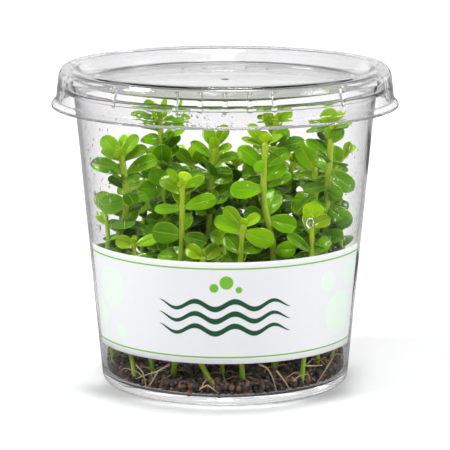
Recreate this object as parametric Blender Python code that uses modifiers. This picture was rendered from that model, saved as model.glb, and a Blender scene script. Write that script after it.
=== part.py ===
"""Lemon bacopa grown by tissue culture in a clear, lidded round cup.

The cup stands on its foot at z = 0 with its axis on z, and the label faces -y.
Sizes are in millimetres and are turned into metres by MM.
"""
import math

import bmesh
import bpy
from mathutils import Matrix, Vector, noise
from mathutils.bvhtree import BVHTree

MM = 0.001
COLLECTION = "lemon_bacopa_culture_cup"
GAP = 0.3
TURNED_STEPS = 40
CORNER_STEPS = 2
SHARP_ANGLE = 35
MERGE = 0.00001

# Cup
WALL = 0.9
FLOOR_TOP = 1.8
FLOOR_UNDERSIDE = 0.7
FOOT_RADIUS = 26.2
FOOT_INNER_RADIUS = 23.8
FOOT_CORNER = 1.2
BODY_LOW = (27.65, 5.0)
BODY_HIGH = (32.77, 61.7)
FLANGE_RADIUS = 35.0
FLANGE_EDGE = 0.3
RIM_Z = 65.4

# Lid
PANEL_Z = 66.6
PANEL_RADIUS = 27.8
LID_WALL = 0.8
RING_INNER_RADIUS = 32.4
RING_OUTER_RADIUS = 35.32
LID_TOP = 69.74
SHOULDER = (36.26, 68.17)
SKIRT_LOW = (36.9, 62.8)
LIP_RADIUS = 37.93
LIP_Z = 61.7
LIP_WALL = 0.5
FLARE_INSET = 0.18
RIB_ANGLES = [side + step * 8.2 for side in (0, 90, 180, 270) for step in (-2, -1, 0, 1, 2)]
RIB_WIDTH = 0.7
RIB_INNER_RADIUS = 33.2
RIB_OUTER_RADIUS = 35.9
RIB_TOP = 68.2

# Label
LABEL_LOW = 9.67
LABEL_HIGH = 32.02
LABEL_HALF_STEPS = 8
LABEL_THICKNESS = 0.2
LABEL_ROWS = 3

# Soil
SOIL_LEVEL = 6.3
SOIL_SLOPE = 0.085
SOIL_LUMP = 0.45
SOIL_LUMP_SIZE = 2.6
SOIL_STEPS = 32
SOIL_RINGS = 6

# Plants
STEM_SIDES_RESOLUTION = 1
STEM_SPANS = 4
STEM_TIP_TAPER = 0.85
STEM_FOOT_CHECKS = 8
STEM_SWAY = 2
HALVINGS = 24
PLANT_SHARP_ANGLE = 50
LEAF_THICKNESS = 0.55
LEAF_STATIONS = ((0.36, 0.94), (0.74, 0.84))
LEAF_ARCH = 0.07
LEAF_FOOT_SHARE = 0.3
LEAF_GUARD = 0.22
LEAF_MARGIN = 0.45
LID_MARGIN = 0.5
LEAF_TURNS = (0, 9, -9, 18, -18, 30, -30, 45, -45, 60, -60)
LEAF_LIFTS = (0, 12, -12, 24)
LEAF_SHRINKS = (1.0, 0.86, 0.72)

# Each shoot: stem radius, then the stem's route from its foot on the soil to its tip (x, y, z)
STEMS = {
    "shoot_left": (0.66, [(-23.6, -4, 6), (-24.6, -8, 27), (-21.5, -9, 38), (-21.6, -8.5, 46),
                          (-22.6, -8, 52)]),
    "shoot_left_thin": (0.48, [(-24.3, -7.5, 6), (-25.3, -11, 24), (-25.2, -10, 34), (-26.2, -8, 39.5)]),
    "shoot_tall_left": (0.62, [(-11.5, -1, 6), (-12.4, 1, 28), (-13.4, 2, 42), (-14.4, 3, 59.5)]),
    "shoot_front_left": (0.6, [(-11, -18, 5), (-9.4, -17.5, 28), (-9.2, -17, 38), (-9.0, -17, 46.6)]),
    "shoot_centre": (0.6, [(-4.2, -2, 6), (-3.7, 0, 30), (-3.1, 0, 42), (-1.9, 0, 52.6)]),
    "shoot_centre_dark": (0.52, [(-8, 7, 7), (-8.3, 8, 30), (-7.8, 8, 40), (-7.2, 8, 47)]),
    "shoot_front_right": (0.68, [(10.6, -14, 5), (10.4, -13, 31), (8.4, -12, 42), (8.6, -11.5, 55)]),
    "shoot_tall_centre": (0.6, [(8.2, 3, 6), (8.6, 4, 30), (10.2, 4, 47), (11.4, 4, 57.4)]),
    "shoot_tall_right": (0.68, [(20, -10, 5.5), (21.4, -9, 28), (22.1, -8, 42), (23.2, -7.5, 58.6)]),
    "shoot_right_broad": (0.6, [(18.6, 0, 6), (19.4, 1.5, 30), (20.2, 2, 40), (20.0, 2.5, 46.8)]),
    "shoot_right_side": (0.52, [(21.5, 6, 7), (21.8, 7, 30), (23.2, 6, 43), (27.2, 5, 49.4)]),
    "shoot_front_short": (0.58, [(3.8, -21.5, 4.5), (2.9, -20, 18), (3.3, -20, 32), (3.9, -20, 38.4)]),
    "shoot_round_leaf": (0.52, [(16.4, -19.5, 5), (18.2, -17, 22), (18.5, -15.5, 31), (18.6, -15, 38.4)]),
    "shoot_low_left": (0.5, [(-15.5, -16.5, 5), (-17.6, -17.5, 18), (-19, -17, 28), (-19.4, -16, 33.5)]),
    "shoot_low_centre": (0.6, [(-3.2, -22.8, 4.5), (-5.6, -20.5, 10), (-6, -20, 20), (-4.6, -20, 31.5)]),
    "shoot_low_mid": (0.54, [(-0.6, -18.5, 5), (-0.6, -16, 20), (-0.2, -13, 34)]),
    "sprout_left": (0.48, [(-19.4, -16.8, 5), (-20.4, -15.2, 10), (-21.2, -14.2, 15)]),
    "sprout_right": (0.46, [(23.3, -7, 6), (25.2, -4.4, 20), (25.4, -2.6, 34.5)]),
    "shoot_back_centre": (0.55, [(2.8, 10, 7), (2.4, 10, 32), (2.1, 10, 47)]),
    "shoot_back_left": (0.55, [(-18, 8, 7), (-18.6, 10, 28), (-17.2, 10, 43.5)]),
    "shoot_back_right": (0.55, [(13, 12, 7), (13.8, 12, 32), (15.2, 12, 46.5)]),
    "shoot_rear_left": (0.55, [(-11, 17, 8), (-12, 18, 30), (-11.6, 18.5, 47)]),
    "shoot_rear_centre": (0.58, [(-2, 19, 8), (-2.6, 20, 30), (-3.2, 20, 50)]),
    "shoot_rear_right": (0.55, [(7.4, 19, 8), (8, 20, 28), (8.2, 19.6, 45)]),
    "shoot_side_right": (0.52, [(18.6, 13.4, 8), (20.4, 14, 26), (21, 13.6, 40)]),
}

# Leaves seen on the front shoots: height of the base on the stem, reach from base to tip (x, y, z),
# blade width, and how far the face turns from looking up (0) to looking forward (1)
LEAVES = {
    "shoot_left": [
        (50.4, (-4.1, 1.6, 4.6), 3.5, 0.8),
        (50.8, (3.5, 1.2, 4.5), 3.0, 0.6),
        (51.3, (0.6, 3.0, 4.0), 2.4, 0.5),
        (50.9, (-0.5, -2.4, 2.2), 3.0, 0.9),
        (46.9, (-6.9, -1.0, 3.0), 3.9, 0.5),
        (46.9, (7.0, 0.8, 3.7), 3.7, 0.5),
        (40.9, (-5.6, -2.4, 0.0), 4.7, 0.8),
        (41.2, (4.4, 4.4, 0.8), 3.4, 0.5),
        (34.4, (3.2, 2.2, 5.4), 4.0, 0.7),
        (34.8, (-2.2, -4.6, 1.6), 3.2, 0.6),
    ],
    "shoot_left_thin": [
        (39.0, (-0.6, 0.6, 4.2), 4.0, 0.9),
        (38.6, (2.6, 3.4, 0.8), 2.8, 0.6),
        (36.0, (-2.4, 1.6, 2.4), 2.6, 0.6),
        (33.0, (0.8, -4.2, 1.0), 3.0, 0.5),
    ],
    "shoot_tall_left": [
        (58.4, (-3.4, 0.8, 3.0), 2.4, 0.7),
        (58.9, (2.4, 1.4, 3.0), 2.4, 0.7),
        (57.2, (-1.2, -1.8, 2.6), 2.4, 0.9),
        (57.6, (1.7, -1.2, 2.8), 2.2, 0.9),
        (56.6, (-6.6, 0.4, 2.2), 3.0, 0.4),
        (56.4, (6.6, -0.6, 1.6), 2.8, 0.4),
        (54.6, (-4.6, 2.6, 1.2), 2.6, 0.3),
        (53.4, (5.4, -2.0, 2.4), 3.1, 0.5),
        (52.6, (-3.9, -2.0, 0.6), 2.5, 0.6),
        (47.6, (-0.2, -2.4, 4.6), 4.5, 0.95),
        (48.4, (3.3, 2.6, 2.8), 3.0, 0.5),
        (47.0, (4.4, -1.6, -1.4), 3.6, 0.7),
        (43.0, (-2.6, -1.4, 3.8), 4.0, 0.9),
        (41.6, (-5.6, 0.6, 0.4), 3.7, 0.8),
        (41.2, (4.0, 3.0, 0.4), 3.4, 0.6),
        (34.4, (-4.4, -3.4, 1.4), 3.8, 0.6),
        (34.0, (4.2, -2.6, 1.8), 3.6, 0.7),
    ],
    "shoot_front_left": [
        (45.8, (-3.3, -0.6, 3.9), 2.0, 0.5),
        (45.4, (4.8, 0.6, 2.0), 2.6, 0.5),
        (46.2, (0.9, 1.9, 2.6), 3.2, 0.8),
        (46.0, (-0.3, -1.6, 1.6), 2.2, 0.8),
        (41.0, (-5.8, -1.2, 0.1), 2.6, 0.6),
        (41.2, (7.2, -0.8, 2.3), 3.5, 0.75),
        (41.8, (-0.2, 2.2, 3.4), 3.8, 0.9),
        (35.4, (-6.2, -1.8, 1.2), 4.9, 0.9),
        (35.2, (5.4, -1.2, -1.2), 3.2, 0.7),
        (36.0, (1.5, 2.0, 3.6), 3.0, 0.8),
        (29.8, (6.2, -1.6, 1.2), 3.8, 0.8),
        (29.6, (-5.0, 0.8, 1.4), 3.6, 0.6),
    ],
    "shoot_centre": [
        (51.4, (-2.3, 0.6, 4.4), 3.0, 0.8),
        (51.8, (2.4, 0.9, 4.4), 2.8, 0.7),
        (51.0, (-0.3, -1.9, 3.0), 2.4, 0.9),
        (50.2, (3.8, -0.4, 1.8), 2.6, 0.4),
        (48.8, (-5.2, 0.8, 3.7), 2.7, 0.4),
        (48.2, (5.4, 0.4, 1.6), 2.9, 0.4),
        (44.0, (4.6, -1.6, 1.8), 3.2, 0.7),
        (43.4, (-4.8, -1.4, 0.8), 3.4, 0.8),
        (38.2, (1.2, -4.8, 1.8), 3.6, 0.5),
        (37.6, (-3.4, -3.4, 1.2), 3.6, 0.7),
        (33.0, (4.4, -2.6, 1.4), 3.6, 0.6),
    ],
    "shoot_centre_dark": [
        (46.2, (-3.2, -0.8, 3.8), 3.0, 0.8),
        (46.4, (2.8, -0.6, 3.6), 2.8, 0.8),
        (46.8, (0.2, 1.4, 3.6), 2.6, 0.6),
        (42.2, (3.2, -3.6, 1.2), 3.4, 0.7),
        (42.0, (-3.6, 3.2, 1.2), 3.2, 0.5),
        (36.0, (-3.8, -3.6, 0.8), 3.4, 0.7),
        (35.6, (3.4, 3.6, 0.8), 3.4, 0.5),
    ],
    "shoot_front_right": [
        (54.0, (-3.5, 0.8, 4.2), 2.8, 0.6),
        (53.4, (-5.0, 0.2, 1.9), 2.4, 0.3),
        (53.8, (3.7, -0.6, 2.4), 2.4, 0.35),
        (54.4, (0.3, -1.4, 2.4), 1.9, 0.8),
        (48.8, (-5.4, 0.6, 4.8), 3.9, 0.6),
        (49.2, (5.4, 0.4, 3.5), 3.4, 0.6),
        (48.2, (-1.8, -3.2, 2.4), 2.8, 0.8),
        (46.2, (4.8, 1.6, 4.0), 4.0, 0.7),
        (44.4, (-7.4, -1.8, 0.2), 4.1, 0.85),
        (44.6, (5.9, -0.6, 3.1), 2.9, 0.5),
        (38.6, (1.8, 2.4, 5.4), 4.5, 0.9),
        (38.0, (6.2, -1.4, -1.5), 4.2, 0.85),
        (37.6, (-5.2, 1.4, 1.6), 3.6, 0.7),
        (31.2, (4.6, -3.4, 0.8), 3.6, 0.7),
    ],
    "shoot_tall_centre": [
        (56.2, (-2.2, 0.4, 3.2), 3.1, 0.9),
        (56.4, (3.3, 0.2, 3.1), 2.9, 0.9),
        (56.0, (0.5, 2.4, 3.0), 2.4, 0.6),
        (52.4, (3.3, -1.6, 2.6), 3.0, 0.7),
        (52.0, (-3.6, 1.8, 1.8), 2.8, 0.5),
        (48.6, (4.6, 0.6, 2.9), 2.9, 0.5),
        (43.4, (5.4, -0.4, 1.2), 3.6, 0.7),
        (43.0, (-4.2, 2.6, 1.6), 3.4, 0.6),
        (36.6, (3.0, 4.0, 1.0), 3.6, 0.5),
    ],
    "shoot_tall_right": [
        (57.8, (-1.7, -0.8, 3.6), 4.1, 0.95),
        (58.0, (2.4, 0.6, 2.7), 2.0, 0.6),
        (57.4, (-5.1, 0.8, 1.2), 2.1, 0.5),
        (57.2, (4.2, 0.8, 0.8), 2.1, 0.4),
        (54.6, (-1.6, -2.2, 2.6), 2.2, 0.6),
        (53.8, (2.5, -1.6, 3.2), 2.6, 0.7),
        (51.4, (-5.6, 0.6, 2.8), 3.1, 0.5),
        (47.8, (4.8, -3.0, -3.8), 4.0, 0.85),
        (47.4, (-1.2, 4.4, 1.6), 3.4, 0.5),
        (41.4, (2.8, -3.0, 2.8), 3.2, 0.7),
        (40.2, (4.7, -2.6, -4.0), 4.3, 0.85),
        (39.8, (-3.4, -4.0, 0.6), 3.6, 0.7),
        (33.6, (3.6, -4.2, 0.2), 3.6, 0.7),
    ],
    "shoot_right_broad": [
        (45.6, (-3.7, -0.8, 6.8), 5.0, 0.85),
        (46.2, (-1.4, 1.4, 6.4), 3.6, 0.8),
        (45.2, (-5.0, 1.2, 4.4), 2.6, 0.5),
        (44.8, (2.6, 2.8, 2.4), 3.0, 0.6),
        (38.8, (-4.8, -1.8, 1.2), 3.8, 0.7),
        (38.4, (4.2, -1.4, 1.0), 3.4, 0.6),
        (32.2, (-4.4, 2.4, 1.2), 3.6, 0.7),
    ],
    "shoot_right_side": [
        (48.8, (0.8, -1.6, 3.4), 2.0, 0.7),
        (49.0, (1.9, 2.8, 1.6), 2.2, 0.5),
        (46.2, (-0.2, -1.8, 5.0), 3.6, 0.85),
        (42.6, (4.6, -1.8, 0.6), 3.6, 0.8),
        (42.2, (-3.0, 4.0, 1.2), 3.4, 0.5),
        (36.4, (5.0, 0.8, -0.8), 3.8, 0.7),
        (35.8, (-1.4, 5.0, 0.6), 3.4, 0.5),
    ],
    "shoot_front_short": [
        (37.6, (-3.9, -0.6, 4.4), 3.0, 0.7),
        (37.8, (3.6, -0.4, 2.5), 2.6, 0.6),
        (38.0, (0.2, -1.3, 1.7), 1.8, 0.8),
        (36.2, (-5.8, 0.6, 3.2), 3.3, 0.7),
        (36.6, (6.6, -1.2, -1.9), 4.4, 0.9),
        (32.0, (-3.4, 0.4, 4.2), 3.7, 0.85),
        (32.4, (4.7, 0.2, 2.0), 3.6, 0.8),
        (27.0, (2.2, -2.4, 0.6), 3.0, 0.7),
    ],
    "shoot_round_leaf": [
        (37.8, (0.3, 0.8, 4.2), 4.4, 0.9),
        (37.2, (3.8, -1.0, 1.6), 3.0, 0.7),
        (31.2, (-5.3, -0.6, 4.1), 2.5, 0.7),
        (30.6, (3.8, 0.6, 3.6), 3.0, 0.7),
    ],
    "shoot_low_left": [
        (32.8, (5.2, -0.4, 2.0), 2.8, 0.6),
        (33.0, (-3.8, -0.8, 1.2), 3.0, 0.7),
        (28.0, (-2.4, -4.4, 1.0), 3.2, 0.6),
        (28.4, (3.4, 3.4, 1.4), 3.4, 0.6),
    ],
    "shoot_low_centre": [
        (31.0, (-3.6, 0.4, 2.2), 3.2, 0.7),
        (30.6, (3.0, 2.2, 2.6), 3.2, 0.8),
        (8.4, (-3.0, 2.2, 2.8), 2.8, 0.6),
    ],
    "shoot_low_mid": [
        (33.2, (-2.8, -2.8, 2.0), 3.2, 0.7),
        (33.4, (3.0, 2.4, 2.2), 3.4, 0.7),
        (29.4, (3.4, -2.4, 0.8), 3.2, 0.7),
        (28.8, (-3.2, 2.6, 0.8), 3.2, 0.6),
    ],
    "sprout_left": [
        (10.4, (-1.6, -2.2, 1.4), 1.8, 0.6),
        (10.0, (2.6, -0.8, 1.2), 1.8, 0.6),
        (14.2, (2.6, 1.8, 1.8), 2.2, 0.6),
        (14.4, (-1.2, 2.2, 2.0), 2.2, 0.6),
    ],
    "sprout_right": [
        (34.0, (-1.6, -2.6, 3.2), 3.0, 0.8),
        (33.6, (1.4, 2.6, 3.0), 3.0, 0.8),
        (27.6, (0.4, -4.6, 1.4), 3.4, 0.8),
        (27.0, (-3.0, 3.2, 1.4), 3.2, 0.6),
    ],
}

# Back shoots grow by the plant's rule: crossed pairs of leaves up the stem.
# Values: number of pairs, compass turn of the lowest pair in degrees, leaf length
PAIRED = {
    "shoot_back_centre": (4, 20, 5.2),
    "shoot_back_left": (4, 70, 5.4),
    "shoot_back_right": (4, 35, 5.4),
    "shoot_rear_left": (5, 10, 5.6),
    "shoot_rear_centre": (5, 55, 5.6),
    "shoot_rear_right": (4, 25, 5.6),
    "shoot_side_right": (4, 80, 5.2),
}
PAIR_LOWEST_SHARE = 0.46
PAIR_TURN = 98
PAIR_PITCH_LOW = 8
PAIR_PITCH_HIGH = 48
PAIR_WIDTH_SHARE = 0.58
PAIR_TOP_LENGTH_SHARE = 0.72
PAIR_TOP_DROP = 1.0
PAIR_STAGGER = 0.45
PAIR_FACING = 0.35
BUD_REACH = (0.3, -0.4, 2.6)
BUD_RISE = 0.4
BUD_WIDTH = 1.508
BUD_FACING = 0.6


def clear_scene():
    for thing in list(bpy.data.objects):
        bpy.data.objects.remove(thing, do_unlink=True)


def new_collection(name):
    collection = bpy.data.collections.new(name)
    bpy.context.scene.collection.children.link(collection)
    return collection


def principled(name, colour, roughness, transmission=0.0):
    material = bpy.data.materials.new(name)
    material.use_nodes = True
    shader = material.node_tree.nodes["Principled BSDF"]
    shader.inputs["Base Color"].default_value = (*colour, 1.0)
    shader.inputs["Metallic"].default_value = 0.0
    shader.inputs["Roughness"].default_value = roughness
    shader.inputs["Transmission Weight"].default_value = transmission
    return material


def add_object(name, mesh, collection, material):
    thing = bpy.data.objects.new(name, mesh)
    collection.objects.link(thing)
    mesh.materials.clear()
    mesh.materials.append(material)
    return thing


def mesh_from_bmesh(name, shape):
    mesh = bpy.data.meshes.new(name)
    bmesh.ops.recalc_face_normals(shape, faces=shape.faces)
    shape.to_mesh(mesh)
    shape.free()
    return mesh


def applied_mesh(thing):
    graph = bpy.context.evaluated_depsgraph_get()
    return bpy.data.meshes.new_from_object(thing.evaluated_get(graph))


def shade_round(mesh):
    mesh.shade_smooth()
    mesh.set_sharp_from_angle(angle=math.radians(SHARP_ANGLE))


def body_radius(z):
    """Outer radius of the cup's tapered wall at a height."""
    (low_radius, low_z), (high_radius, high_z) = BODY_LOW, BODY_HIGH
    return low_radius + (high_radius - low_radius) * (z - low_z) / (high_z - low_z)


def inner_radius(z):
    return body_radius(z) - WALL


def turned(name, profile, collection, material):
    """A profile of (radius, z) points, turned once round the z axis."""
    shape = bmesh.new()
    points = [shape.verts.new((radius * MM, 0, z * MM)) for radius, z in profile]
    for first, second in zip(points, points[1:]):
        shape.edges.new((first, second))
    mesh = bpy.data.meshes.new(name)
    shape.to_mesh(mesh)
    shape.free()
    blank = add_object(name + "_profile", mesh, collection, material)
    screw = blank.modifiers.new("Turn", "SCREW")
    screw.steps = TURNED_STEPS
    screw.render_steps = TURNED_STEPS
    screw.use_merge_vertices = True
    screw.merge_threshold = MERGE
    solid = applied_mesh(blank)
    bpy.data.objects.remove(blank, do_unlink=True)
    shade_round(solid)
    return add_object(name, solid, collection, material)


def corner_points(radius, z, size, start, end):
    """Points on a quarter round whose centre is at (radius, z), between two angles."""
    points = []
    for step in range(CORNER_STEPS + 1):
        angle = math.radians(start + (end - start) * step / CORNER_STEPS)
        points.append((radius + size * math.cos(angle), z + size * math.sin(angle)))
    return points


def make_cup(collection, material):
    inner_corner = corner_points(inner_radius(FLOOR_TOP) - FOOT_CORNER, FLOOR_TOP + FOOT_CORNER,
                                 FOOT_CORNER, -90, 0)
    foot_corner = corner_points(FOOT_RADIUS, FOOT_CORNER, FOOT_CORNER, 0, -90)
    profile = [(0, FLOOR_TOP)] + inner_corner
    profile += [
        (inner_radius(RIM_Z), RIM_Z),
        (FLANGE_RADIUS - FLANGE_EDGE, RIM_Z),
        (FLANGE_RADIUS, RIM_Z - FLANGE_EDGE),
        (FLANGE_RADIUS, RIM_Z - WALL),
        (body_radius(RIM_Z - WALL), RIM_Z - WALL),
    ]
    profile += foot_corner
    profile += [
        (FOOT_INNER_RADIUS, 0),
        (FOOT_INNER_RADIUS - FLOOR_UNDERSIDE, FLOOR_UNDERSIDE),
        (0, FLOOR_UNDERSIDE),
    ]
    return turned("cup", profile, collection, material)


def lid_profile():
    outside = [
        (0, PANEL_Z),
        (PANEL_RADIUS, PANEL_Z),
        (RING_INNER_RADIUS, LID_TOP),
        (RING_OUTER_RADIUS, LID_TOP),
        SHOULDER,
        SKIRT_LOW,
        (LIP_RADIUS, LIP_Z),
        (LIP_RADIUS, LIP_Z - LIP_WALL),
    ]
    inside = [
        (LIP_RADIUS - LIP_WALL, LIP_Z - LIP_WALL),
        (SKIRT_LOW[0] - LID_WALL, SKIRT_LOW[1] - FLARE_INSET),
        (SHOULDER[0] - LID_WALL, SHOULDER[1] - LIP_WALL),
        (RING_OUTER_RADIUS - LIP_WALL, LID_TOP - LID_WALL),
        (RING_INNER_RADIUS + LIP_WALL, LID_TOP - LID_WALL),
        (PANEL_RADIUS + LIP_WALL, PANEL_Z - LID_WALL),
        (0, PANEL_Z - LID_WALL),
    ]
    return outside + inside


def rib_block():
    """The stop ribs inside the lid's ring, which rest on the cup's rim."""
    shape = bmesh.new()
    low = RIM_Z + GAP
    size = Vector((RIB_OUTER_RADIUS - RIB_INNER_RADIUS, RIB_WIDTH, RIB_TOP - low)) * MM
    centre = Vector(((RIB_OUTER_RADIUS + RIB_INNER_RADIUS) / 2, 0, (low + RIB_TOP) / 2)) * MM
    for angle in RIB_ANGLES:
        turn = Matrix.Rotation(math.radians(angle), 4, "Z")
        place = turn @ Matrix.Translation(centre) @ Matrix.Diagonal(size.to_4d())
        bmesh.ops.create_cube(shape, size=1.0, matrix=place)
    return mesh_from_bmesh("ribs", shape)


def fuse(mesh, addition, collection):
    """One mesh that joins two overlapping closed meshes."""
    base = bpy.data.objects.new("fuse_base", mesh)
    tool = bpy.data.objects.new("fuse_tool", addition)
    collection.objects.link(base)
    collection.objects.link(tool)
    union = base.modifiers.new("Union", "BOOLEAN")
    union.operation = "UNION"
    union.solver = "EXACT"
    union.object = tool
    joined = applied_mesh(base)
    bpy.data.objects.remove(base, do_unlink=True)
    bpy.data.objects.remove(tool, do_unlink=True)
    return joined


def make_lid(collection, material):
    plain = turned("lid", lid_profile(), collection, material)
    joined = fuse(plain.data.copy(), rib_block(), collection)
    bpy.data.objects.remove(plain, do_unlink=True)
    shade_round(joined)
    return add_object("lid", joined, collection, material)


def make_label(collection, material):
    shape = bmesh.new()
    step_angle = math.tau / TURNED_STEPS
    rows = []
    for row in range(LABEL_ROWS):
        z = LABEL_LOW + (LABEL_HIGH - LABEL_LOW) * row / (LABEL_ROWS - 1)
        radius = body_radius(z) + GAP
        angles = [-math.pi / 2 + step * step_angle for step in range(-LABEL_HALF_STEPS, LABEL_HALF_STEPS + 1)]
        rows.append([
            shape.verts.new((radius * math.cos(a) * MM, radius * math.sin(a) * MM, z * MM)) for a in angles
        ])
    for lower, upper in zip(rows, rows[1:]):
        for column in range(len(lower) - 1):
            shape.faces.new((lower[column], lower[column + 1], upper[column + 1], upper[column]))
    mesh = bpy.data.meshes.new("label")
    shape.to_mesh(mesh)
    shape.free()
    mesh.shade_smooth()
    label = add_object("label", mesh, collection, material)
    solidify = label.modifiers.new("Film", "SOLIDIFY")
    solidify.thickness = LABEL_THICKNESS * MM
    solidify.offset = 1.0
    return label


def soil_height(x, y):
    """Surface of the soil, which has slumped towards the front."""
    lump = noise.noise(Vector((x, y, 0)) / SOIL_LUMP_SIZE)
    return SOIL_LEVEL + SOIL_SLOPE * y + SOIL_LUMP * lump


def soil_ring(shape, radius_at, height_at):
    ring = []
    for step in range(SOIL_STEPS):
        angle = math.tau * step / SOIL_STEPS
        flat_x, flat_y = math.cos(angle), math.sin(angle)
        z = height_at(flat_x, flat_y)
        radius = radius_at(z)
        ring.append(shape.verts.new((flat_x * radius * MM, flat_y * radius * MM, z * MM)))
    return ring


def make_soil(collection, material):
    """A bed of pellets that fills the bottom of the cup, up to a lumpy surface."""
    shape = bmesh.new()
    edge = inner_radius(SOIL_LEVEL) - GAP
    middle = shape.verts.new((0, 0, soil_height(0, 0) * MM))
    rings = []
    for index in range(1, SOIL_RINGS + 1):
        radius = edge * index / SOIL_RINGS
        rings.append(soil_ring(shape, lambda z, r=radius: min(r, inner_radius(z) - GAP),
                               lambda x, y, r=radius: soil_height(x * r, y * r)))
    bottom_z = FLOOR_TOP + GAP
    corner_z = FLOOR_TOP + FOOT_CORNER
    side_radius = inner_radius(corner_z) - GAP
    rings.append(soil_ring(shape, lambda z: side_radius, lambda x, y: corner_z))
    rings.append(soil_ring(shape, lambda z: side_radius - FOOT_CORNER, lambda x, y: bottom_z))
    under = shape.verts.new((0, 0, bottom_z * MM))
    for step in range(SOIL_STEPS):
        after = (step + 1) % SOIL_STEPS
        shape.faces.new((middle, rings[0][step], rings[0][after]))
        for inner, outer in zip(rings, rings[1:]):
            shape.faces.new((inner[step], outer[step], outer[after], inner[after]))
        shape.faces.new((under, rings[-1][after], rings[-1][step]))
    bmesh.ops.triangulate(shape, faces=shape.faces)
    mesh = mesh_from_bmesh("soil", shape)
    mesh.shade_smooth()
    return add_object("soil", mesh, collection, material)


def route_point(route, share):
    """Point on a smooth curve through the route, at a share of its length from 0 to 1."""
    spans = len(route) - 1
    position = min(share * spans, spans - 1e-6)
    index = int(position)
    t = position - index
    before = route[max(index - 1, 0)]
    start = route[index]
    end = route[index + 1]
    after = route[min(index + 2, spans)]
    curve = 2 * start + (end - before) * t
    curve += (2 * before - 5 * start + 4 * end - after) * t ** 2
    curve += (3 * start - before - 3 * end + after) * t ** 3
    return curve / 2


def stem_route(name):
    return [Vector(point) for point in STEMS[name][1]]


def stem_at_height(route, z):
    """Point of the stem at a height, found by halving."""
    low, high = 0.0, 1.0
    for _ in range(HALVINGS):
        middle = (low + high) / 2
        if route_point(route, middle).z < z:
            low = middle
        else:
            high = middle
    return route_point(route, low)


def stand_on(route, radius, soil_tree):
    """The route with its foot lifted or lowered to stand just clear of the soil."""
    heights = []
    for step in range(STEM_FOOT_CHECKS):
        angle = math.tau * step / STEM_FOOT_CHECKS
        spot = route[0] + Vector((math.cos(angle), math.sin(angle), 0)) * radius
        surface = soil_tree.ray_cast(Vector((spot.x, spot.y, LID_TOP)), Vector((0, 0, -1)))[0]
        heights.append(surface.z)
    foot = Vector((route[0].x, route[0].y, max(heights) + GAP))
    return [foot] + route[1:]


def tube_mesh(name, points, radius, tip_share, collection):
    """A tapered round stem along points, closed at both ends."""
    curve = bpy.data.curves.new(name, "CURVE")
    curve.dimensions = "3D"
    curve.bevel_depth = radius * MM
    curve.bevel_resolution = STEM_SIDES_RESOLUTION
    curve.use_fill_caps = True
    spline = curve.splines.new("POLY")
    spline.points.add(len(points) - 1)
    for index, (spot, point) in enumerate(zip(spline.points, points)):
        spot.co = (*(point * MM), 1.0)
        spot.radius = 1 + (tip_share - 1) * index / (len(points) - 1)
    thing = bpy.data.objects.new(name, curve)
    collection.objects.link(thing)
    mesh = applied_mesh(thing)
    bpy.data.objects.remove(thing, do_unlink=True)
    shape = bmesh.new()
    shape.from_mesh(mesh)
    bmesh.ops.remove_doubles(shape, verts=shape.verts, dist=MERGE)
    return mesh_from_bmesh(name, shape)


def blade_points(base, reach, width, facing, guard):
    """The leaf's foot, three points round the blade at each station (left, right, keel), and its tip."""
    along = reach.normalized()
    look = Vector((0, -facing, 1 - facing)).normalized()
    side = along.cross(look).normalized()
    normal = side.cross(along).normalized()
    points = [base]
    for share, width_share in LEAF_STATIONS:
        arch = normal * reach.length * LEAF_ARCH * math.sin(math.pi * share)
        centre = base + reach * share + arch
        half = width / 2 * width_share + guard
        rise = normal * guard
        points += [centre - side * half + rise, centre + side * half + rise,
                   centre - normal * (LEAF_THICKNESS + guard)]
    return points + [base + along * (reach.length + guard)]


def blade_faces():
    """Faces of a leaf: a fan round its foot, bands between the stations, and a fan round its tip."""
    tip = 1 + 3 * len(LEAF_STATIONS)
    faces = []
    for corner in range(3):
        following = (corner + 1) % 3
        faces.append((0, 1 + following, 1 + corner))
        for row in range(1, len(LEAF_STATIONS)):
            lower = 3 * row - 2
            faces.append((lower + corner, lower + following, lower + 3 + following, lower + 3 + corner))
        faces.append((tip - 3 + corner, tip - 3 + following, tip))
    return faces


def blade_tree(base, reach, width, facing, guard):
    return BVHTree.FromPolygons(blade_points(base, reach, width, facing, guard), blade_faces())


def outer_tree(base, reach, width, facing):
    """The outer part of a leaf, which keeps clear of the other leaves of its shoot."""
    return blade_tree(base + reach * LEAF_FOOT_SHARE, reach * (1 - LEAF_FOOT_SHARE), width, facing, 0.0)


def blade_mesh(base, reach, width, facing):
    shape = bmesh.new()
    corners = [shape.verts.new(point * MM) for point in blade_points(base, reach, width, facing, 0.0)]
    for face in blade_faces():
        shape.faces.new([corners[index] for index in face])
    bmesh.ops.triangulate(shape, faces=shape.faces)
    return mesh_from_bmesh("leaf", shape)


def paired_leaves(name):
    """Crossed pairs of leaves up a stem, steeper and shorter towards the tip."""
    count, first_turn, length = PAIRED[name]
    route = stem_route(name)
    top = route[-1].z - PAIR_TOP_DROP
    lowest = route[0].z + (top - route[0].z) * PAIR_LOWEST_SHARE
    leaves = []
    for index in range(count):
        share = index / (count - 1)
        z = lowest + (top - lowest) * share
        pitch = math.radians(PAIR_PITCH_LOW + (PAIR_PITCH_HIGH - PAIR_PITCH_LOW) * share)
        reach_length = length * (1 + (PAIR_TOP_LENGTH_SHARE - 1) * share)
        for half in (0, 1):
            turn = math.radians(first_turn + PAIR_TURN * index + 180 * half)
            flat = math.cos(pitch)
            reach = Vector((math.cos(turn) * flat, math.sin(turn) * flat, math.sin(pitch)))
            width = reach_length * PAIR_WIDTH_SHARE
            leaves.append((z + PAIR_STAGGER * half, tuple(reach * reach_length), width, PAIR_FACING))
    leaves.append((top + BUD_RISE, BUD_REACH, BUD_WIDTH, BUD_FACING))
    return leaves


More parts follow.
